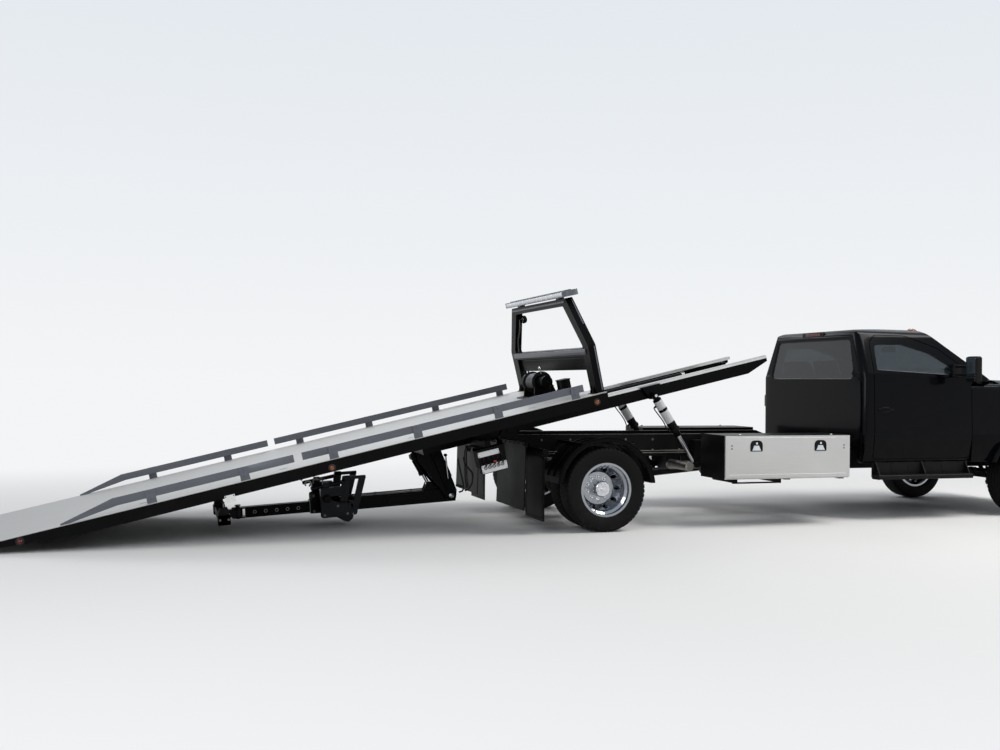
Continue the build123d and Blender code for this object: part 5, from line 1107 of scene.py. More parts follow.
def alongLine(top, low, y):
    # a frame on the line from top to low in the truck's plane, and a turned profile laid along it
    a, b = np.array([top[0], y, top[1]]), np.array([low[0], y, low[1]])
    n = (b - a) / np.linalg.norm(b - a)
    u = np.array([0, 1.0, 0])
    v = np.cross(n, u)
    def turned(profile, sides=32, closed=False):
        # points = a + along * n + radius * (cos u + sin v)
        pr = np.asarray(profile, float)
        t = np.linspace(0, 2 * math.pi, sides, endpoint=False)
        ring = np.cos(t)[:, None] * u + np.sin(t)[:, None] * v
        p = a + pr[:, 0][:, None, None] * n + pr[:, 1][:, None, None] * ring[None]
        return sheetPart(p, closeRows=closed, closeCols=True)
    def spot(along, across=0.0, out=0.0):
        return a + n * along + u * across + v * out
    return turned, spot


cylinderTrim = dict(top=(1.620, -0.015), low=(1.312, 0.590), y=0.505, length=0.440, radius=0.046,
                    rodRadius=0.024)


def makeTiltCylinders():
    c = cylinderTrim
    top = onBed((c["top"][0], 0, c["top"][1]))[[0, 2]]
    low = np.array([c["low"][0] - midX, c["low"][1]])
    kit = Kit("tilt_barrels", inWorld)
    sleeve = kit.piece("tiltSleeves", "paleEnamel", 40)
    band = kit.piece("tiltBands", "bedPaint")
    gland = kit.piece("tiltGlands", "chassisPaint")
    pipe = kit.piece("tiltPipes", "chassisPaint", 50)
    pin = kit.piece("tiltPinHeads", "brightTrim", body="subframe")
    for side in (-1, 1):
        turned, spot = alongLine(top, low, side * c["y"])
        r = c["radius"]
        sleeve(turned([(0.190, r - 0.001), (0.192, r + 0.0012), (0.328, r + 0.0012), (0.330, r - 0.001)]))
        sleeve(turned([(0.062, r - 0.001), (0.064, r + 0.0008), (0.160, r + 0.0008), (0.162, r - 0.001)]))
        band(turned([(0.164, r - 0.001), (0.165, r + 0.003), (0.187, r + 0.003), (0.188, r - 0.001)]))
        e = c["length"]
        gland(turned([(e - 0.030, r + 0.0065), (e - 0.027, r + 0.009), (e - 0.002, r + 0.009),
                      (e + 0.001, r + 0.006), (e + 0.003, 0.036), (e + 0.008, 0.034),
                      (e + 0.008, c["rodRadius"] + 0.0006), (e - 0.006, c["rodRadius"] + 0.0006)]))
        band(turned([(e + 0.004, 0.0335), (e + 0.010, 0.0345), (e + 0.058, 0.0345), (e + 0.064, 0.031),
                     (e + 0.064, c["rodRadius"] + 0.0008), (e + 0.004, c["rodRadius"] + 0.0008)],
                    closed=True))
        for k in range(4):
            t = 2 * math.pi * (k + 0.5) / 4
            gland(rodPart(spot(e + 0.001, 0.043 * math.cos(t), 0.043 * math.sin(t)),
                          spot(e + 0.009, 0.043 * math.cos(t), 0.043 * math.sin(t)), 0.005, 8))
        # ports and the pipe between them
        for along in (0.105, e - 0.055):
            gland(rodPart(spot(along, 0, -r + 0.004), spot(along, 0, -r - 0.020), 0.012, 12))
        pipe(tubePart([spot(0.105, 0, -r - 0.014), spot(0.107, 0, -r - 0.030),
                       spot(0.150, 0.012, -r - 0.026), spot(0.26, 0.014, -r - 0.014),
                       spot(e - 0.12, 0.010, -r - 0.016), spot(e - 0.066, 0, -r - 0.030),
                       spot(e - 0.055, 0, -r - 0.014)], 0.0062, 10, 60, up=(0, 1, 0)))
        pipe(turned([(0.345, r - 0.001), (0.345, r + 0.0022), (0.355, r + 0.0022), (0.355, r - 0.001)]))
        pin(boltHead((top[0], side * (c["y"] + 0.042), top[1]), (0, side, 0), 0.012, 0.006))
    kit.make()


mastTrim = dict(y=0.121, strut=((-0.762, -0.045), (-0.672, -0.485)),
                rod=((-0.616, -0.130), (-0.641, -0.386)), pin=(-0.643, -0.547))


def makeMastTrim():
    m = mastTrim
    kit = Kit("subframe", onBed)
    plates = kit.piece("mastRibs", "bedPaint", 35, 0.001)
    bright = kit.piece("mastPins", "pistonRod", 40)
    bolts = kit.piece("subframeBolts", "chassisPaint")
    dark = kit.piece("mastWashers", "bedPaint", 35, 0.001)
    (x0, h0), (x1, h1) = m["strut"]
    px, ph = m["pin"]
    for side in (-1, 1):
        y = side * m["y"]
        # a stiffening rib along the mast plate, and the stay rod before it
        rib = [(x0 - 0.006, h0), (x0 + 0.006, h0), (x1 + 0.006, h1), (x1 - 0.006, h1)]
        plates(slabPart(rib, y - side * 0.001, y + side * 0.028, 1))
        (a0, b0), (a1, b1) = m["rod"]
        bright(rodPart((a0, y + side * 0.016, b0), (a1, y + side * 0.016, b1), 0.0085, 16))
        for a, b in m["rod"]:
            dark(rodPart((a, y - side * 0.001, b), (a, y + side * 0.030, b), 0.016, 16))
        # pivot pin: washer, head and split pin
        dark(turnPart([(y, 0.0), (y, 0.046), (y + side * 0.005, 0.046), (y + side * 0.006, 0.044),
                       (y + side * 0.006, 0.0)], (px, 0, ph), 1, 28))
        bright(turnPart([(y + side * 0.005, 0.0), (y + side * 0.005, 0.026), (y + side * 0.013, 0.026),
                         (y + side * 0.016, 0.022), (y + side * 0.016, 0.0)], (px, 0, ph), 1, 24))
        for a, b in ((-0.86, -0.03), (-0.80, -0.03), (-0.72, -0.03), (-0.86, -0.09)):
            bolts(boltHead((a, y, b), (0, side, 0), 0.011, 0.009))
    # wear strips on the subframe's top faces and flange edges, in bright metal that also paints the highlight
    # along those edges, and web bolts
    highlightStrips = kit.piece("subframeHighlightStrips", "wearStripPaintedHighlight", 30)
    for side in (-1, 1):
        highlightStrips(blockPart((-0.899, side * 0.3590, 0.1048), (3.059, side * 0.4210, 0.1099)))
        for x in np.arange(-0.82, 3.0, 0.24):
            bolts(boltHead((x, side * 0.425, 0.050), (0, side, 0), 0.009, 0.007))
        highlightStrips(blockPart((0.780, side * 0.4240, 0.0790), (3.058, side * 0.4300, 0.1046)))
        highlightStrips(blockPart((0.780, side * 0.3495, 0.0790), (3.058, side * 0.3560, 0.1046)))
    # slide cylinder: a ring at each end and the end cap
    rings = kit.piece("slideCylinderRings", "bareSteel")
    x0, x1, h = -0.840, 2.260, 0.062
    for a in (x0 - 0.012, x1 - 0.045):
        rings(turnPart([(a, 0.039), (a, 0.0445), (a + 0.040, 0.0445), (a + 0.040, 0.039)], (0, 0, h), 0, 28,
                       closed=True))
    rings(turnPart([(x0 - 0.012, 0.0235), (x0 - 0.016, 0.030), (x0 - 0.016, 0.038), (x0 - 0.010, 0.0425),
                    (x0 + 0.02, 0.0425), (x0 + 0.02, 0.0235)], (0, 0, h), 0, 28, closed=True))
    kit.make()


makeControls()
makeTiltCylinders()
makeMastTrim()
print("subframe and cylinders made")

# wheel lift

liftTrim = dict(pivot=(-0.643, -0.547), rise=math.radians(9.6), half=0.065, stinger=0.052, mouth=-1.42,
                tip=-2.04, holes=5, holePitch=0.105, rackX=-1.295, rackY=0.310, rackTop=0.255,
                barRear=-1.440, barFront=-1.100)


def onBoom(points):
    # the boom's own frame: along it, across and square to it, turned by its rise, then set on the bed
    p = np.asarray(points, float)
    x, y, z = p[..., 0], p[..., 1], p[..., 2]
    c, s = math.cos(liftTrim["rise"]), math.sin(liftTrim["rise"])
    px, ph = liftTrim["pivot"]
    return onBed(np.stack([px + x * c + z * s, y + 0 * x, ph - x * s + z * c], -1))


def makeLiftTrim():
    v = liftTrim
    kit = Kit("lift_boom", onBoom)
    arms = kit.piece("liftArms", "armPaint", 35, 0.002)
    bright = kit.piece("liftBright", "bareSteel", 50)
    dark = kit.piece("liftPlates", "bedPaint")
    bolts = kit.piece("liftBolts", "pipeSteel", 40)
    pads = kit.piece("liftMouth", "paleEnamel", 30)
    floors = kit.piece("stingerHoles", "moulding", 40, body="lift_stinger")
    half = v["half"]
    for side in (-1, 1):
        y = side * v["rackY"]
        # stowed arm: upright, top bar with its hook end, and the foot plate
        arms(blockPart((v["rackX"] - 0.030, y - 0.024, 0.070),
                       (v["rackX"] + 0.030, y + 0.024, v["rackTop"])))
        bar = [(v["barRear"], y, 0.205), (v["barFront"], y, 0.252)]
        arms(rodPart(bar[0], bar[1], 0.019, 20))
        arms(blockPart((-1.350, y - 0.045, 0.120), (-1.140, y + 0.045, 0.205)))
        fork = roundedOutline([(-1.352, -0.085), (-1.070, -0.085), (-1.045, -0.060), (-1.070, 0.040),
                (-1.170, 0.050), (-1.352, 0.128)], 0.018)
        for dy in (-0.029, 0.023):
            arms(slabPart(fork, y + dy, y + dy + 0.006, 1))
        for a, h in ((-1.32, -0.06), (-1.32, 0.09), (-1.10, -0.06), (-1.19, 0.02)):
            bolts(boltHead((a, y + side * 0.029, h), (0, side, 0), 0.010, 0.008))
        # hook: a bar bent three quarters round, with a spring keeper
        t = np.linspace(-0.4 * math.pi, 1.25 * math.pi, 26)
        hook = np.stack([v["barRear"] - 0.024 + 0.026 * np.cos(t), y + 0 * t,
                         v["rackTop"] + 0.002 + 0.026 * np.sin(t)], -1)
        bright(carryPart(hook, circleSection(0.0085, 10), up=(0, 1, 0)))
        t = np.linspace(0, 16 * math.pi, 240)
        spring = np.stack([v["barRear"] + 0.040 + 0.075 * t / t[-1], y + 0.012 * np.cos(t),
                           v["rackTop"] + 0.036 + 0.012 * np.sin(t)], -1)
        bright(carryPart(spring, circleSection(0.0026, 6), up=(1, 0.01, 0)))
        bright(rodPart((v["barRear"] + 0.030, y, v["rackTop"] + 0.036),
                       (v["barRear"] + 0.125, y, v["rackTop"] + 0.036), 0.006, 12))
        for a in (v["barRear"] + 0.032, v["barRear"] + 0.120):
            arms(blockPart((a - 0.004, y - 0.014, v["rackTop"]),
                           (a + 0.004, y + 0.014, v["rackTop"] + 0.050)))
        # the leaning struts: the rear one broad and upright, the front one slanting back to the foot
        lean = roundedOutline([(-0.955, 0.285), (-0.890, 0.285), (-1.000, -0.085), (-1.062, -0.085)], 0.014)
        arms(slabPart(lean, y - side * 0.075, y - side * 0.035, 1))
        broad = roundedOutline([(-1.120, 0.300), (-1.045, 0.300), (-1.085, 0.040), (-1.165, 0.010)], 0.014)
        arms(slabPart(broad, y - side * 0.075, y - side * 0.035, 1))
        foot = roundedOutline([(-1.320, -0.060), (-1.030, -0.080), (-1.045, -0.120), (-1.085, -0.150),
                (-1.130, -0.135), (-1.220, -0.080)], 0.014)
        arms(slabPart(foot, y - side * 0.060, y - side * 0.020, 1))
        arms(blockPart((-1.120, y - side * 0.075, 0.262), (-0.895, y - side * 0.030, 0.292)))
        bright(turnPart([(-0.024, 0.0), (-0.022, 0.014), (-0.008, 0.020), (0.008, 0.020), (0.022, 0.014),
                         (0.024, 0.0)], (-1.045, y - side * 0.055, -0.072), 1, 18))
        arms(blockPart((-1.060, side * half, 0.020), (-0.975, y - side * 0.036, 0.044)))
        # yoke bolts, boom side plates
        for a in (-1.385, -1.205):
            for h in (-0.045, 0.110):
                bolts(boltHead((a, side * 0.079, h), (0, side, 0), 0.011, 0.009))
        plate = roundedOutline([(-0.62, -0.045), (-0.30, -0.045), (-0.26, 0.045), (-0.66, 0.045)], 0.02)
        dark(slabPart(plate, side * half, side * (half + 0.006), 1))
        # pin end of the boom
        dark(turnPart([(side * half, 0.0), (side * half, 0.048), (side * (half + 0.008), 0.048),
                       (side * (half + 0.010), 0.044), (side * (half + 0.010), 0.0)], (0, 0, 0), 1, 28))
        # cross tube end caps
        dark(turnPart([(side * 0.414, 0.0), (side * 0.414, 0.0325), (side * 0.4215, 0.0325),
                       (side * 0.4225, 0.029), (side * 0.4225, 0.0)], (v["rackX"], 0, 0.101), 1, 28))
        dark(turnPart([(side * 0.345, 0.029), (side * 0.345, 0.040), (side * 0.360, 0.040),
                       (side * 0.360, 0.029)], (v["rackX"], 0, 0.101), 1, 28, closed=True))
    # lamp wiring pipe along the boom, with its clips
    pipe = [(-0.10, 0.030, half + 0.008), (-0.30, 0.046, half + 0.010), (-0.70, 0.046, half + 0.009),
            (-1.05, 0.046, half + 0.009), (-1.17, 0.040, half + 0.012)]
    bolts(tubePart(pipe, 0.007, 10, 60, up=(0, 1, 0)))
    for a in (-0.38, -0.75, -1.05):
        bolts(blockPart((a - 0.009, 0.032, half - 0.001), (a + 0.009, 0.060, half + 0.018)))
    # mouth pads: a frame round the stinger
    s = v["stinger"]
    for sign in (-1, 1):
        pads(blockPart((v["mouth"] - 0.004, sign * (s + 0.0008), -0.0625),
                       (v["mouth"] + 0.001, sign * 0.0625, 0.0625)))
        pads(blockPart((v["mouth"] - 0.004, -s, sign * (s + 0.0008)),
                       (v["mouth"] + 0.001, s, sign * 0.0625)))
    # stinger: locking holes along its sides
    rims = kit.piece("stingerRims", "bareSteel", 40, body="lift_stinger")
    for k in range(v["holes"]):
        x = v["tip"] + 0.085 + k * v["holePitch"]
        for side in (-1, 1):
            rims(turnPart([(side * (s - 0.001), 0.0125), (side * (s + 0.0016), 0.0130),
                           (side * (s + 0.0016), 0.0165), (side * (s - 0.001), 0.0175)], (x, 0, 0), 1, 24,
                          closed=True))
            floors(turnPart([(side * (s + 0.0004), 0.0), (side * (s + 0.0004), 0.0125),
                             (side * (s - 0.001), 0.0125), (side * (s - 0.001), 0.0)], (x, 0, 0), 1, 24))
    # crossbar: the swivel's cap, lips round the receivers, towers with lock pins
    tip = -2.110
    plates = kit.piece("crossbarPlates", "armPaint", 35, 0.0015, body="lift_crossbar")
    steel = kit.piece("crossbarSteel", "bareSteel", 40, body="lift_crossbar")
    h = 0.037
    cap = [(h + 0.024, 0.0), (h + 0.024, 0.018), (h + 0.030, 0.030), (h + 0.036, 0.030), (h + 0.040, 0.022),
           (h + 0.040, 0.0)]
    steel(turnPart(cap, (tip, 0, 0), 2, 28))
    x0 = tip - 0.200
    for side in (-1, 1):
        y0, y1 = side * 0.480, side * 0.370
        for y in (y0 - side * 0.004, y1):
            lip = roundedBox(x0 - 0.012, -h - 0.012, x0 + 0.102, h + 0.012, 0.012)
            plates(slabPart(lip, y - 0.004, y + 0.004, 1))
        tower = roundedOutline([(x0 - 0.006, h + 0.006), (x0 + 0.096, h + 0.006), (x0 + 0.080, h + 0.075),
                (x0 + 0.010, h + 0.075)], 0.014)
        for y in (side * 0.385, side * 0.459):
            plates(slabPart(tower, y - 0.005, y + 0.005, 1))
        plates(turnPart([(side * 0.378, 0.0), (side * 0.378, 0.020), (side * 0.466, 0.020),
                         (side * 0.466, 0.0)], (x0 + 0.045, 0, h + 0.050), 1, 24))
        steel(rodPart((x0 + 0.045, side * 0.425, h + 0.060), (x0 + 0.045, side * 0.425, h + 0.112), 0.007,
                      12))
        steel(turnPart([(-0.010, 0.0), (-0.009, 0.010), (0, 0.014), (0.009, 0.010), (0.010, 0.0)],
                       (x0 + 0.045, side * 0.425, h + 0.118), 2, 18))
        for a in (x0 + 0.006, x0 + 0.084):
            steel(boltHead((a, side * 0.480, 0.0), (0, side, 0), 0.009, 0.007))
    for y in np.linspace(-0.30, 0.30, 5):
        steel(boltHead((x0, y, 0.0), (-1, 0, 0), 0.010, 0.008))
    kit.make()


makeLiftTrim()
print("wheel lift made")

# cab

def treeOf(*names):
    # a search tree over the nodes' faces, to set pieces on their surfaces
    verts, faces, base = [], [], 0
    for name in names:
        mesh = nodes[name].data
        verts += [v.co.copy() for v in mesh.vertices]
        faces += [[i + base for i in p.vertices] for p in mesh.polygons]
        base += len(mesh.vertices)
    return BVHTree.FromPolygons(verts, faces)


def touch(tree, start, way, lift=0.0):
    # the surface point met from start, raised off it by lift, and the surface's direction there
    spot, normal, _, _ = tree.ray_cast(Vector(start), Vector(way).normalized())
    if normal.dot(Vector(way)) > 0:
        normal = -normal
    return np.array(spot + normal * lift), np.array(normal)


def paneLoop(name, facing, count=150):
    # the outline of a pane's outer face, as evenly spaced points
    work = bmesh.new()
    work.from_mesh(nodes[name].data)
    bmesh.ops.remove_doubles(work, verts=work.verts, dist=2e-5)
    want = Vector(facing).normalized()
    work.normal_update()
    chosen = {f for f in work.faces if f.normal.dot(want) > 0.72}
    edges = [e for e in work.edges if sum(f in chosen for f in e.link_faces) == 1]
    links = {}
    for e in edges:
        for a, b in (e.verts, reversed(e.verts)):
            links.setdefault(a, []).append(b)
    loops, seen = [], set()
    for start in links:
        if start in seen:
            continue
        loop, here, last = [start], start, None
        seen.add(start)
        while True:
            onward = [v for v in links[here] if v is not last and v not in seen]
            if not onward:
                break
            last, here = here, onward[0]
            seen.add(here)
            loop.append(here)
        loops.append(np.array([v.co[:] for v in loop]))
    work.free()
    loop = max(loops, key=lambda p: np.linalg.norm(np.diff(p, axis=0), axis=1).sum())
    loop = np.vstack([loop, loop[:1]])
    run = np.concatenate([[0], np.cumsum(np.linalg.norm(np.diff(loop, axis=0), axis=1))])
    at = np.linspace(0, run[-1], count, endpoint=False)
    return np.stack([np.interp(at, run, loop[:, k]) for k in range(3)], -1)


sealSection = [(-0.010, -0.004), (0.010, -0.004), (0.010, 0.003), (0.006, 0.0065), (-0.004, 0.0060),
               (-0.010, 0.001)]


def makeSeals():
    front = paneLoop("cab_glass", (0.6, 0, 0.8), 220)
    rear = paneLoop("cab_glass", (-1, 0, 0.25), 180)
    makePiece("screenSeal", "chassis", [carryPart(front, sealSection, up=(0.6, 0, 0.8), closed=True)],
              "hoseRubber", smooth=50)
    makePiece("rearSeal", "chassis", [carryPart(rear, sealSection, up=(-1, 0, 0.25), closed=True)],
              "hoseRubber", smooth=50)
    for side, name in bothSides:
        loop = paneLoop("door_glass_" + name, (0, side, 0.2), 180)
        makePiece("doorSeal" + name, "door_" + name, [carryPart(loop, sealSection, up=(0, side, 0.2),
                closed=True)], "hoseRubber", smooth=50)


cabTrim = dict(handleX=(3.236, 3.412), handleZ=1.176, lampX=3.985, lampY=(-0.58, -0.29, 0.0, 0.29, 0.58),
               highLamp=(0.205, 2.006), mirrorX=4.1895, fuelDoor=(3.125, 1.235))


def domeRow(centre, normal, long, wide, high, along=(1.0, 0, 0)):
    # a lens: rows of an ellipse that shrinks as sqrt(1 - h^2) on its way up
    n = np.asarray(normal, float)
    a = np.asarray(along, float) - n * float(np.dot(along, n))
    a /= np.linalg.norm(a)
    b = np.cross(n, a)
    t = np.linspace(0, 2 * math.pi, 28, endpoint=False)
    ring = long * np.cos(t)[:, None] * a + wide * np.sin(t)[:, None] * b
    steps = [(math.sqrt(1 - k * k), high * k) for k in (0, 0.25, 0.5, 0.75, 0.92)]
    steps = [(1.0, -0.004)] + steps + [(0.02, high)]
    return solidPart([centre + ring * s + n * h for s, h in steps])


def makeCabOutside():
    c = cabTrim
    roof = treeOf("cab_shell", "front_clip", "hood")
    kit = Kit("chassis", inWorld)
    bases = kit.piece("roofLampBases", "moulding", 50)
    amber = kit.piece("roofLamps", "amberLens", 60)
    red = kit.piece("highLamp", "redLens", 50)
    for y in c["lampY"]:
        spot, normal = touch(roof, onTruck((c["lampX"], y, 3.0)), (0, 0, -1))
        bases(domeRow(spot, normal, 0.072, 0.032, 0.012))
        amber(domeRow(spot + normal * 0.009, normal, 0.062, 0.026, 0.022))
    # high lamp over the rear window: a lens carried across the roof's rear edge
    half, z = c["highLamp"]
    line = np.array([touch(roof, onTruck((2.0, y, z)), (1, 0, 0), 0.004)[0]
                     for y in np.linspace(-half, half, 15)])
    bases(carryPart(line, roundedBox(-0.010, -0.026, 0.010, 0.026, 0.006, 3)))
    red(carryPart(line[2:-2] + [-0.009, 0, 0], roundedBox(-0.006, -0.016, 0.006, 0.016, 0.004, 3)))
    kit.make()
    for side, name in bothSides:
        tree = treeOf("door_" + name)
        x0, x1 = c["handleX"]
        z = c["handleZ"]
        ends = [touch(tree, onTruck((x, side * 2.0, z)), (0, -side, 0), 0.001)
                for x in (x0, (x0 + x1) / 2, x1)]
        n = ends[1][1]
        base = ends[0][0] + (ends[2][0] - ends[0][0]) * np.linspace(0, 1, 13)[:, None]
        out = 0.034 * np.sin(np.linspace(0, math.pi, 13)) ** 0.45
        bar = base + n * out[:, None]
        grip = carryPart(bar, roundedBox(-0.007, -0.013, 0.007, 0.013, 0.005, 3), up=(0, 0, 1))
        cup = domeRow(ends[1][0] + n * -0.002, n, 0.066, 0.030, 0.004)
        lock = domeRow(ends[0][0] + [0.006, 0, 0] + n * 0.004, n, 0.008, 0.008, 0.005)
        makePiece("doorHandle" + name, "door_" + name, [grip], "cabPaint", smooth=50)
        makePiece("doorHandleCup" + name, "door_" + name, [cup], "moulding", smooth=50)
        makePiece("doorLock" + name, "door_" + name, [lock], "brightTrim", smooth=50)
        # mirror: glass over a lower spot glass, a frame round both, and a lamp on the outer edge
        kit = Kit("door_" + name, onTruck)
        x = c["mirrorX"]
        for title, low, top in (("mirrorFace", 1.546, 1.742), ("mirrorSpot", 1.492, 1.536)):
            pane = roundedBox(side * 1.209, low, side * 1.332, top, 0.012)
            kit.piece(title + name, "mirrorGlass", 30, 0.0008)(slabPart(pane, x - 0.002, x + 0.002, 0))
        rim = setOn(roundedBox(side * 1.203, 1.486, side * 1.338, 1.748, 0.018, 6), 0, x)
        mount = carryPart(rim, circleSection(0.0042, 8), up=(1, 0, 0), closed=True)
        kit.piece("mirrorFrame" + name, "moulding", 50)(mount)
        kit.make()
        lens = domeRow(onTruck((4.262, side * 1.3425, 1.640)), (0, side, 0), 0.012, 0.034, 0.0025)
        makePiece("mirrorLamp" + name, "door_" + name, [lens], "amberLens", smooth=60)
    # fuel door on the left rear corner
    x, z = c["fuelDoor"]
    spot, n = touch(roof, onTruck((x, 2.0, z)), (0, -1, 0))
    o = roundedBox(x - 0.058, z - 0.075, x + 0.058, z + 0.075, 0.02, 6)
    makePiece("fuelDoor", "chassis", [placed(slabPart(o, spot[1] - 0.002, spot[1] + 0.0035, 1), onTruck)],
              "cabPaint", smooth=30, bevel=0.0015)


def makeWipers():
    glass = treeOf("cab_glass")
    kit = Kit("chassis", inWorld)
    arms = kit.piece("wiperArms", "moulding", 60)
    blades = kit.piece("wiperBlades", "hoseRubber", 40)
    for y0, y1, pivotY in ((-0.78, -0.16, -0.52), (-0.06, 0.58, 0.20)):
        rows = [touch(glass, onTruck((7.0, y, 1.612 + 0.020 * math.cos(y * 2))), (-1, 0, 0), 0.010)[0]
                for y in np.linspace(y0, y1, 16)]
        blades(carryPart(np.array(rows), boxSection(0.004, 0.008, 0.0075, 0.004), up=(0.55, 0, 0.83)))
        foot = touch(glass, onTruck((7.0, pivotY, 1.588)), (-1, 0, 0), 0.020)[0]
        mid = np.array(rows[8]) + [0.012, 0, 0.012]
        foot = foot + np.array([0.045, -0.02, -0.030])
        arms(tubePart([foot, foot + (mid - foot) * 0.35 + [0.008, 0, 0.014], mid + [0.004, -0.10, 0.004],
                       mid], 0.0062, 10, 26, up=(0, 0, 1)))
        arms(domeRow(foot, (0.5, 0, 0.86), 0.018, 0.018, 0.016))
    kit.make()


frontTrim = dict(grilleHalf=0.545, low=0.880, top=1.322, x=6.0805, lampIn=0.575, lampOut=0.890,
                 lampLow=0.935, lampTop=1.322, bumperX=6.177)


def makeFront():
    f = frontTrim
    kit = Kit("chassis", onTruck)
    glass = kit.piece("fogLamps", "lampGlass", 50)
    mesh = kit.piece("grilleFins", "moulding", 30)
    bright = kit.piece("grilleBright", "brightTrim", 45)
    dark = kit.piece("frontDark", "moulding", 40)
    bowls = kit.piece("lampBowls", "brightTrim", 50)
    cores = kit.piece("lampCores", "lampGlass", 50)
    amber = kit.piece("lampAmber", "amberLens", 40)
    # grille: upright fins behind the bars and a bright outline before them
    for y in np.linspace(-f["grilleHalf"] + 0.03, f["grilleHalf"] - 0.03, 27):
        fin = roundedBox(5.990, f["low"], 6.052, f["top"], 0.004, 2)
        mesh(slabPart(fin, y - 0.002, y + 0.002, 1))
    o = roundedBox(-f["grilleHalf"], f["low"] - 0.006, f["grilleHalf"], f["top"] + 0.006, 0.030, 8)
    path = setOn(o, 0, f["x"] - 0.004)
    bright(carryPart(path, [(-0.010, -0.006), (0.010, -0.006), (0.012, 0.002), (0.004, 0.0062),
            (-0.006, 0.0050), (-0.012, 0.0)], up=(1, 0, 0), closed=True))
    for h in np.linspace(f["low"], f["top"], 6)[1:-1]:
        bar = roundedOutline([(6.062, h - 0.010), (6.0795, h - 0.006), (6.0795, h + 0.006),
                (6.062, h + 0.010)], 0.004, 3)
        bright(slabPart(bar, -f["grilleHalf"] + 0.012, f["grilleHalf"] - 0.012, 1))
    for side in (-1, 1):
        mid = (f["lampIn"] + f["lampOut"]) / 2
        # two reflector bowls one over the other, as deep as the square of the radius' share
        for z in (1.235, 1.060):
            rows = [(6.052 - 0.055 * (1 - (k / 8) ** 2), 0.016 + 0.058 * k / 8) for k in range(9)]
            rows += [(6.055, 0.079), (6.046, 0.081), (6.030, 0.070), (5.993, 0.018)]
            bowls(turnPart(rows, (0, side * mid, z), 0, 40, closed=True))
            cores(turnPart([(5.996, 0.0), (5.996, 0.021), (6.012, 0.030), (6.024, 0.028), (6.032, 0.018),
                            (6.035, 0.0)], (0, side * mid, z), 0, 32))
        dark(blockPart((5.960, side * f["lampIn"], f["lampLow"]),
                       (6.000, side * f["lampOut"], f["lampTop"])))
        amber(slabPart(roundedBox(side * (f["lampOut"] - 0.042), 0.950, side * (f["lampOut"] - 0.012),
                1.305, 0.008, 4), 6.012, 6.034, 0))
        # bumper: fog lamp, tow hook and step pad
        glass(domeRow(np.array((f["bumperX"] - 0.028, side * 0.720, 0.665)), (1, 0, 0), 0.030, 0.044, 0.012,
                      along=(0, 0, 1)))
        dark(turnPart([(-0.034, 0.046), (-0.020, 0.050), (-0.018, 0.058), (-0.026, 0.060), (-0.034, 0.060)],
                      (f["bumperX"], side * 0.720, 0.665), 0, 32, closed=True))
        hook = [(f["bumperX"] - 0.10, side * 0.430, 0.560), (f["bumperX"] - 0.035, side * 0.430, 0.556),
                (f["bumperX"] - 0.022, side * 0.430, 0.585), (f["bumperX"] - 0.035, side * 0.430, 0.610),
                (f["bumperX"] - 0.08, side * 0.430, 0.606)]
        dark(tubePart(hook, 0.010, 12, 24, up=(0, 1, 0)))
        pad = roundedOutline([(f["bumperX"] - 0.150, side * 0.50), (f["bumperX"] - 0.030, side * 0.50),
                (f["bumperX"] - 0.060, side * 0.94), (f["bumperX"] - 0.150, side * 0.94)], 0.015, 4)
        dark(slabPart(pad, 0.798, 0.8035, 2))
        for k in range(6):
            y = 0.54 + 0.06 * k
            dark(blockPart((f["bumperX"] - 0.140, side * y, 0.8030),
                           (f["bumperX"] - 0.066, side * (y + 0.012), 0.8055)))
    kit.make()


def makeSteps():
    # tread plates on the steps: rows of raised teeth, and a closing panel behind: a step riser that is also a
    # dark sheet standing in for the shade under the cab
    kit = Kit("chassis", onTruck)
    teeth = kit.piece("stepTeeth", "moulding")
    panel = kit.piece("stepRiserShadeFill", "moulding", 35, 0.0012)
    for side in (-1, 1):
        for x in np.arange(3.240, 4.390, 0.046):
            for y in (0.955, 0.995, 1.035):
                o = roundedBox(x, side * (y - 0.012), x + 0.026, side * (y + 0.012), 0.008, 3)
                teeth(slabPart(o, 0.479, 0.4835, 2))
        shadeRiser = roundedBox(3.190, 0.478, 4.430, 0.640, 0.02)
        panel(slabPart(shadeRiser, side * 0.940, side * 0.950, 1))
        for x in np.linspace(3.26, 4.36, 6):
            panel(slabPart(roundedBox(x - 0.05, 0.50, x + 0.05, 0.615, 0.02), side * 0.949, side * 0.953,
                           1))
    kit.make()


seatTrim = dict(rear=3.200, rows=((-0.560, 0.520), (0.0, 0.380), (0.560, 0.520)), voxel=0.011, frames=20,
                pressure=4.0, capSeat=0.020, capBack=0.016, lean=math.atan2(0.165, 0.54))


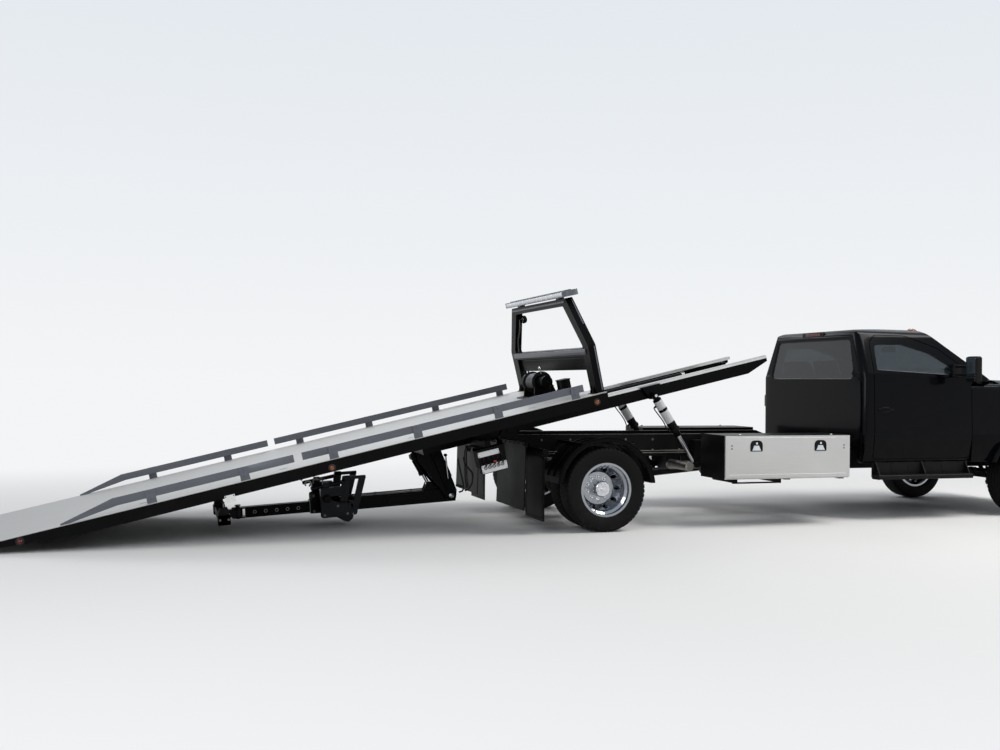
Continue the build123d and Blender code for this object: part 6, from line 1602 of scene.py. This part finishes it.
def puffed(name, part, cap):
    # a closed form swollen by cloth under pressure: each point's move is cut to the cap, then one subdivision
    piece = makePiece(name, "chassis", [part], "seatCloth", smooth=180)
    form = piece.modifiers.new("remesh", "REMESH")
    form.mode, form.voxel_size = "VOXEL", seatTrim["voxel"]
    view = bpy.context.evaluated_depsgraph_get()
    start = bpy.data.meshes.new_from_object(piece.evaluated_get(view))
    piece.modifiers.clear()
    piece.data = start
    points = np.empty(len(start.vertices) * 3)
    start.vertices.foreach_get("co", points)
    points = points.reshape(-1, 3)
    cloth = piece.modifiers.new("cloth", "CLOTH")
    s = cloth.settings
    s.use_pressure, s.uniform_pressure_force = True, seatTrim["pressure"]
    s.quality, s.mass = 4, 0.3
    s.effector_weights.gravity = 0
    cloth.point_cache.frame_start, cloth.point_cache.frame_end = 1, seatTrim["frames"]
    for k in range(1, seatTrim["frames"] + 1):
        bpy.context.scene.frame_set(k)
    view = bpy.context.evaluated_depsgraph_get()
    done = bpy.data.meshes.new_from_object(piece.evaluated_get(view))
    moved = np.empty(len(done.vertices) * 3)
    done.vertices.foreach_get("co", moved)
    move = moved.reshape(-1, 3) - points
    far = np.linalg.norm(move, axis=1)[:, None]
    points = points + move * np.minimum(1, cap / np.maximum(far, 1e-9))
    piece.modifiers.clear()
    bpy.context.scene.frame_set(1)
    return piece, start, points


def finishPad(piece, mesh, points, channels, top, wide):
    # sewn channels: a groove 7 mm deep with a bell-shaped cross section along lines of the width
    shape = points.copy()
    for y in channels:
        shape -= np.outer(0.007 * np.exp(-((points[:, 1] - y) / 0.007) ** 2) * top, wide)
    mesh.vertices.foreach_set("co", shape.reshape(-1))
    mesh.materials.clear()
    mesh.materials.append(look["seatCloth"])
    mesh.shade_smooth()
    piece.data = mesh
    sub = piece.modifiers.new("smooth", "SUBSURF")
    sub.levels = sub.render_levels = 1


def makeSeats():
    s = seatTrim
    x = s["rear"]
    seat = roundedOutline([(x + 0.200, 1.050), (x + 0.690, 1.050), (x + 0.698, 1.135), (x + 0.660, 1.165),
            (x + 0.215, 1.150)], 0.035, 4)
    back = roundedOutline([(x + 0.160, 1.190), (x + 0.045, 1.660), (x + 0.065, 1.695), (x + 0.105, 1.690),
            (x + 0.245, 1.250), (x + 0.230, 1.195)], 0.022, 4)
    stock = {}
    for kind, line, cap in (("Cushion", seat, s["capSeat"]), ("Back", back, s["capBack"])):
        part = placed(slabPart(line, -0.232, 0.232, 1), onTruck)
        stock[kind] = puffed("seat" + kind + "0", part, cap)
    for i, (y, width) in enumerate(s["rows"]):
        for kind in ("Cushion", "Back"):
            first, start, points = stock[kind]
            piece = first if i == 0 else bpy.data.objects.new(f"seat{kind}{i}", start)
            if i:
                bpy.context.scene.collection.objects.link(piece)
                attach(piece, "chassis")
            ratio = (width - 0.012) / 0.520
            p = points * [1, ratio, 1] + [0, y, 0]
            lean = s["lean"]
            # the grooves lie in the face that is sat on: above a height, or before the leaning back's middle
            wide = np.array([0, 0, 1.0])
            top = (p[:, 2] > 1.12) * 1.0
            if kind == "Back":
                wide = np.array([math.cos(lean), 0, math.sin(lean)])
                ahead = (p[:, 0] - onTruck((x, 0, 0))[0]) * math.cos(lean)
                top = (ahead + (p[:, 2] - 1.16) * math.sin(lean) > 0.20) * 1.0
            finishPad(piece, start.copy(), p, (y - width / 6, y + width / 6), top, wide)
            if kind == "Back" and i == 2:
                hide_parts("seats")
    kit = Kit("chassis", onTruck)
    bases = kit.piece("seatBases", "dashPlastic", 35, 0.003)
    trims = kit.piece("seatPiping", "hoseRubber", 50)
    for y, width in s["rows"]:
        h = width / 2 - 0.004
        bases(slabPart(roundedOutline([(x + 0.142, 0.832), (x + 0.690, 0.832), (x + 0.698, 1.000),
                (x + 0.150, 1.036)], 0.02), y - h, y + h, 1))
        bases(slabPart(roundedOutline([(x + 0.146, 0.990), (x + 0.175, 0.990), (x + 0.130, 1.240),
                (x + 0.004, 1.690), (x + 0.028, 1.715), (x + 0.062, 1.690), (x + 0.160, 1.240),
                (x + 0.205, 1.040)], 0.012), y - h + 0.012, y + h - 0.012, 1))
        bar = np.array([(x + 0.705, y - h + 0.03, 1.085), (x + 0.705, y + h - 0.03, 1.085)])
        trims(carryPart(bar, circleSection(0.004, 8)))
    kit.make()


def makeCabInside():
    # hood over the dials, screen in the middle, vents with slats
    kit = Kit("chassis", onTruck)
    dash = kit.piece("dashHood", "dashPlastic", 35, 0.002)
    screen = kit.piece("dashScreen", "mirrorGlass", 30, 0.001)
    vents = kit.piece("dashVents", "moulding")
    y0 = 0.420
    hoodLine = roundedOutline([(4.345, 1.468), (4.430, 1.468), (4.560, 1.492), (4.560, 1.512),
            (4.380, 1.512)], 0.012)
    dash(slabPart(hoodLine, y0 - 0.19, y0 + 0.19, 1))
    for dy in (-0.085, 0.085):
        vents(turnPart([(4.328, 0.0), (4.328, 0.056), (4.322, 0.062), (4.318, 0.056), (4.324, 0.050),
                        (4.324, 0.0)], (0, y0 + dy, 1.400), 0, 32))
    screen(slabPart(roundedBox(-0.130, 1.330, 0.130, 1.475, 0.012), 4.300, 4.322, 0))
    for y in (-0.70, -0.22, 0.75):
        vents(slabPart(roundedBox(y - 0.07, 1.385, y + 0.07, 1.445, 0.012), 4.306, 4.322, 0))
        for k in range(4):
            vents(blockPart((4.300, y - 0.062, 1.396 + 0.012 * k), (4.308, y + 0.062, 1.400 + 0.012 * k)))
    mats = kit.piece("floorMats", "dashPlastic", 35, 0.001)
    visors = kit.piece("sunVisors", "roofCloth", 35, 0.004)
    mirror = kit.piece("insideMirror", "moulding", 35, 0.002)
    for y in (-0.50, 0.50):
        mats(slabPart(roundedOutline([(3.95, y - 0.26), (4.42, y - 0.24), (4.42, y + 0.24),
                (3.95, y + 0.26)], 0.04), 0.831, 0.839, 2))
        visors(slabPart(roundedBox(3.93, y - 0.20, 4.08, y + 0.20, 0.03), 1.962, 1.982, 2))
    mirror(slabPart(roundedBox(-0.115, 1.830, 0.115, 1.890, 0.02), 4.105, 4.125, 0))
    mirror(rodPart((4.118, 0, 1.880), (4.160, 0, 1.950), 0.008, 12))
    kit.make()


makeSeals()
makeCabOutside()
makeWipers()
makeFront()
makeSteps()
makeSeats()
makeCabInside()
print("cab made")

# toolboxes, fenders and running gear

boxTrim = dict(doorRear=1.278, doorFront=2.726, low=0.492, top=0.916, face=1.200, latchAt=(1.628, 2.374),
               latchHeight=0.813, rivetAt=(1.350, 2.656), rivetHeight=0.816)


def latchTray(x, z, side):
    # a D-shaped black tray: rows of one outline that shrink as they rise from the door
    o = roundedBox(-0.070, -0.055, 0.070, 0.056, [0.010, 0.010, 0.058, 0.058], 11)
    rows = []
    for grow, rise in ((1.00, -0.001), (1.00, 0.003), (0.97, 0.0042), (0.92, 0.0036), (0.90, 0.0012)):
        rows.append(np.stack([x + o[:, 0] * grow, side * (boxTrim["face"] + rise) + 0 * o[:, 0],
                z + o[:, 1] * grow], -1))
    return solidPart(rows)


def makeBoxTrim():
    b = boxTrim
    for side, name in bothSides:
        # the model's own paddles are pressed flush with the door: the trays stand for them
        for v in bpy.data.objects["toolbox_door_" + name + "Dressed"].data.vertices:
            v.co.y = max(-b["face"] - 0.0002, min(b["face"] + 0.0002, v.co.y))
        y = side * b["face"]
        kit = Kit("toolbox_door_" + name, onTruck)
        trays = kit.piece("boxLatchTrays" + name, "moulding", 40)
        bright = kit.piece("boxLatchPaddles" + name, "brightTrim", 40)
        dark = kit.piece("boxDoorRivets" + name, "chassisPaint")
        pressing = kit.piece("boxDoorPressing" + name, "doorAlloy")
        for x in b["latchAt"]:
            z = b["latchHeight"]
            trays(latchTray(x, z, side))
            # paddle: a plate that curls outwards at its lower edge, u across and v down
            u, v = np.meshgrid(np.linspace(-1, 1, 15), np.linspace(0, 1, 12), indexing="ij")
            px = x + u * (0.030 + 0.022 * v ** 1.5)
            pz = z + 0.004 - 0.050 * v
            py = b["face"] + 0.0030 + 0.003 * np.sin(v * math.pi) + 0.006 * v ** 4 - 0.0030 * u ** 6
            outer = np.stack([px, side * py, pz], -1)
            inner = np.stack([px, side * (py - 0.003), pz], -1)
            bright(sheetPart(np.concatenate([outer, inner[::-1]]), closeRows=True))
            bright(turnPart([(side * (b["face"] + 0.0012), 0.0), (side * (b["face"] + 0.0012), 0.0125),
                             (side * (b["face"] + 0.0085), 0.0115), (side * (b["face"] + 0.0090), 0.0)],
                            (x, 0, z + 0.026), 1, 20))
        for x in b["rivetAt"]:
            for dz in (0.0, -0.030):
                dark(boltHead((x, y, b["rivetHeight"] + dz), (0, side, 0), 0.006, 0.004))
        # dark seal showing round the door
        rear, front = b["doorRear"] - 0.001, b["doorFront"] + 0.001
        low, top = b["low"] - 0.002, b["top"] + 0.001
        corners = [(rear, low), (front, low), (front, top), (rear, top), (rear, low)]
        seal = setOn(corners, 1, side * (b["face"] - 0.024))
        for k in range(4):
            dark(carryPart(seal[k:k + 2], boxSection(0.002, 0.004), up=(0, 1, 0)))
        # pressed border line on the door's face
        line = roundedBox(b["doorRear"] + 0.030, b["low"] + 0.030, b["doorFront"] - 0.030, b["top"] - 0.024,
                          0.020)
        path = setOn(line, 1, side * (b["face"] - 0.0005))
        pressing(carryPart(path, boxSection(0.006, 0.001, 0.004, 0.0012), up=(0, side, 0), closed=True))
        kit.make()
    # box edges: corner angles, hanger under the box and the top stop
    kit = Kit("chassis", onTruck)
    edges = kit.piece("boxEdges", "bedPaint", 30, 0.001)
    knobs = kit.piece("boxStops", "brightTrim", 40)
    for side in (-1, 1):
        for x in (1.276, 2.728):
            edges(blockPart((x - 0.002, side * 1.165, 0.476), (x + 0.002, side * 0.700, 0.920)))
        for x in (1.398, 1.900):
            edges(blockPart((x, side * 1.150, 0.440), (x + 0.046, side * 0.720, 0.478)))
        edges(blockPart((1.398, side * 1.150, 0.432), (1.946, side * 1.120, 0.446)))
        stop = [(0.916, 0.0), (0.916, 0.012), (0.922, 0.014), (0.929, 0.012), (0.931, 0.0)]
        for x in (2.535, 1.470):
            knobs(turnPart(stop, (x, side * 1.150, 0), 2, 20))
    kit.make()


fenderTrim = dict(radius=0.502, y=1.215)


def makeFenderTrim():
    f = fenderTrim
    kit = Kit("chassis", onTruck)
    bright = kit.piece("fenderBeads", "fenderPlastic", 50)
    dark = kit.piece("fenderRibs", "fenderPlastic", 45)
    bolts = kit.piece("fenderBolts", "chassisPaint")
    start = math.asin(0.062 / f["radius"])
    t = np.linspace(start, math.pi - start, 90)
    for side in (-1, 1):
        # edge bead: a small section carried round the arch
        path = np.stack([f["radius"] * np.cos(t), 0 * t + side * (f["y"] - 0.004),
                         wheelRadius + f["radius"] * np.sin(t)], -1)
        bright(carryPart(path, roundedBox(-0.008, -0.004, 0.008, 0.004, 0.003, 3), up=(0, 1, 0)))
        for a in np.linspace(0.5, math.pi - 0.5, 7):
            r = f["radius"] - 0.020
            bolts(boltHead((r * math.cos(a), side * f["y"], wheelRadius + r * math.sin(a)), (0, side, 0),
                           0.007, 0.005))
        # stiffening ribs over the top of the fender
        for y in (0.80, 0.96, 1.12):
            path = np.stack([0.4705 * np.cos(t[4:-4]), 0 * t[4:-4] + side * y,
                             wheelRadius + 0.4705 * np.sin(t[4:-4])], -1)
            dark(carryPart(path, boxSection(0.012, 0.002, 0.006, 0.004), up=(0, 1, 0)))
        # mud flap: clamp bar, bolts and a border pressed in the rubber
        dark(blockPart((-0.660, side * 1.213, 0.748), (-0.650, side * 0.702, 0.792)))
        for y in np.linspace(0.74, 1.18, 5):
            bolts(boltHead((-0.660, side * y, 0.770), (-1, 0, 0), 0.009, 0.007))
        o = roundedBox(0.730, 0.145, 1.185, 0.725, 0.03)
        path = setOn(o * [side, 1], 0, -0.6495)
        dark(carryPart(path, boxSection(0.006, 0.002, 0.003, 0.003), up=(-1, 0, 0), closed=True))
    # the wide flap of the rear, hung between two bars from the frame rail
    for side in (-1, 1):
        # its inner edge steps outwards past the frame rail
        down = np.linspace(0.850, 0.228, 14)[None, :] + np.zeros((18, 1))
        inner = 0.345 + 0.099 * np.clip((down - 0.600) / 0.055, 0, 1)
        flap = np.stack([-inner - (1.195 - inner) * np.linspace(0, 1, 18)[:, None], down], -1)
        sag = -0.820 - 0.012 * ((0.85 - flap[..., 1]) / 0.62) ** 2
        sheets = [np.stack([sag + d, side * -flap[..., 0], flap[..., 1]], -1) for d in (0.0, -0.009)]
        dark(sheetPart(np.concatenate([sheets[0], sheets[1][::-1]]), closeRows=True, closeCols=False))
        dark(blockPart((-0.818, side * 0.440, 0.818), (-0.806, side * 1.190, 0.872)))
        dark(blockPart((-0.840, side * 0.440, 0.832), (-0.829, side * 1.190, 0.866)))
        for y in np.linspace(0.50, 1.15, 6):
            bolts(boltHead((-0.840, side * y, 0.849), (-1, 0, 0), 0.009, 0.007))
    kit.make()


def makeRunningGear():
    kit = Kit("chassis", onTruck)
    dark = kit.piece("springClamps", "castIron", 35, 0.002)
    steel = kit.piece("chassisBolts", "pipeSteel")
    pipes = kit.piece("chassisPipes", "pipeSteel", 50)
    for side in (-1, 1):
        # spring clamps: rows are x of the axle, y of the spring, seat height, stack height
        for x, y, seat, stack in ((0.0, 0.560, 0.475, 0.065), (wheelBase, 0.515, 0.448, 0.036)):
            top = seat + stack
            dark(blockPart((x - 0.085, side * (y - 0.044), top),
                           (x + 0.085, side * (y + 0.044), top + 0.014)))
            dark(blockPart((x - 0.085, side * (y - 0.044), wheelRadius - 0.078),
                           (x + 0.085, side * (y + 0.044), wheelRadius - 0.064)))
            for dx in (-0.066, 0.066):
                for dy in (-0.0445, 0.0445):
                    foot = (x + dx, side * (y + dy), wheelRadius - 0.110)
                    steel(rodPart(foot, (x + dx, side * (y + dy), top + 0.030), 0.0075, 10))
                    steel(boltHead((x + dx, side * (y + dy), wheelRadius - 0.078), (0, 0, -1), 0.013,
                                   0.014))
                    steel(boltHead((x + dx, side * (y + dy), top + 0.014), (0, 0, 1), 0.013, 0.014))
            for dx in (-0.30, 0.30):
                dark(blockPart((x + dx - 0.016, side * (y - 0.042), seat + 0.004),
                               (x + dx + 0.016, side * (y + 0.042), seat + stack + 0.022)))
        # shock absorbers behind the front axle and before the rear one
        for low, top in (((wheelBase - 0.090, side * 0.470, 0.400),
                          (wheelBase - 0.250, side * 0.452, 0.700)),
                         ((0.110, side * 0.480, 0.400), (0.300, side * 0.452, 0.760))):
            a, b = np.array(low), np.array(top)
            mid = a + (b - a) * 0.52
            dark(rodPart(mid, b, 0.030, 20))
            dark(rodPart(a, mid + (b - a) * 0.03, 0.024, 20))
            for p in (a, b):
                dark(turnPart([(-0.024, 0.0), (-0.024, 0.020), (0.024, 0.020), (0.024, 0.0)], p, 1, 20))
        # brake chambers by the rear axle
        can = [(-0.070, 0.0), (-0.070, 0.040), (-0.062, 0.066), (-0.014, 0.072), (-0.008, 0.080),
               (0.008, 0.080), (0.014, 0.072), (0.060, 0.064), (0.066, 0.040), (0.066, 0.0)]
        dark(turnPart(can, (-0.205, side * 0.430, 0.430), 0, 28))
        steel(rodPart((-0.140, side * 0.430, 0.430), (-0.050, side * 0.430, 0.424), 0.009, 12))
        # rail bolts in pairs along the web, and two service pipes
        for x in np.arange(-0.70, 2.4, 0.31):
            for z in (0.735, 0.845):
                steel(boltHead((x, side * 0.4325, z), (0, side, 0), 0.010, 0.008))
        for k in range(2):
            z = 0.705 + 0.022 * k
            run = [(-0.60, side * 0.440, z), (0.4, side * 0.4405, z), (1.25, side * 0.4405, z),
                   (2.48, side * 0.440, z)]
            pipes(tubePart(run, 0.006, 8, 90))
    # differential's cover bolts, and the bolts of the shaft's joints
    for k in range(12):
        a = 2 * math.pi * k / 12
        for side in (-1, 1):
            steel(boltHead((0.145 * math.cos(a), side * 0.0955, 0.405 + 0.145 * math.sin(a)), (0, side, 0),
                           0.009, 0.007))
    for x, z, way in ((0.330, 0.405, 1), (3.720, 0.600, -1)):
        for a in range(4):
            t = math.pi / 2 * a + 0.785
            steel(boltHead((x, 0.042 * math.cos(t), z + 0.042 * math.sin(t)), (way, 0, 0), 0.008, 0.040))
    # exhaust clamps and the bright tail
    tail = kit.piece("exhaustTail", "tailSteel", 50)
    clamps = kit.piece("exhaustClamps", "bareSteel", 40)
    tail(tubePart([(0.995, -0.650, 0.600), (0.988, -0.80, 0.600), (0.982, -0.93, 0.600),
                   (0.980, -1.0095, 0.600)], 0.0455, 28, 30, up=(0, 0, 1)))
    for x in (1.56, 2.35):
        clamps(turnPart([(x, 0.108), (x, 0.113), (x + 0.030, 0.113), (x + 0.030, 0.108)],
                        (0, -0.300, 0.560), 0, 40, closed=True))
    # fuel tank straps and cap
    straps = kit.piece("tankStraps", "bareSteel", 40)
    cap = kit.piece("tankCap", "moulding", 40)
    for x in (1.62, 2.42):
        o = roundedBox(0.444, 0.4485, 0.692, 0.692, 0.042, 7)
        path = setOn(o, 0, x)
        straps(carryPart(path, boxSection(0.022, 0.002, 0.022, 0.0015), up=(1, 0, 0), closed=True))
    cap(turnPart([(0.690, 0.0), (0.690, 0.042), (0.700, 0.050), (0.716, 0.050), (0.720, 0.044),
                  (0.720, 0.0)], (2.52, 0, 0.600), 1, 32))
    kit.make()


makeBoxTrim()
makeFenderTrim()
makeRunningGear()
print("boxes, fenders and running gear made")
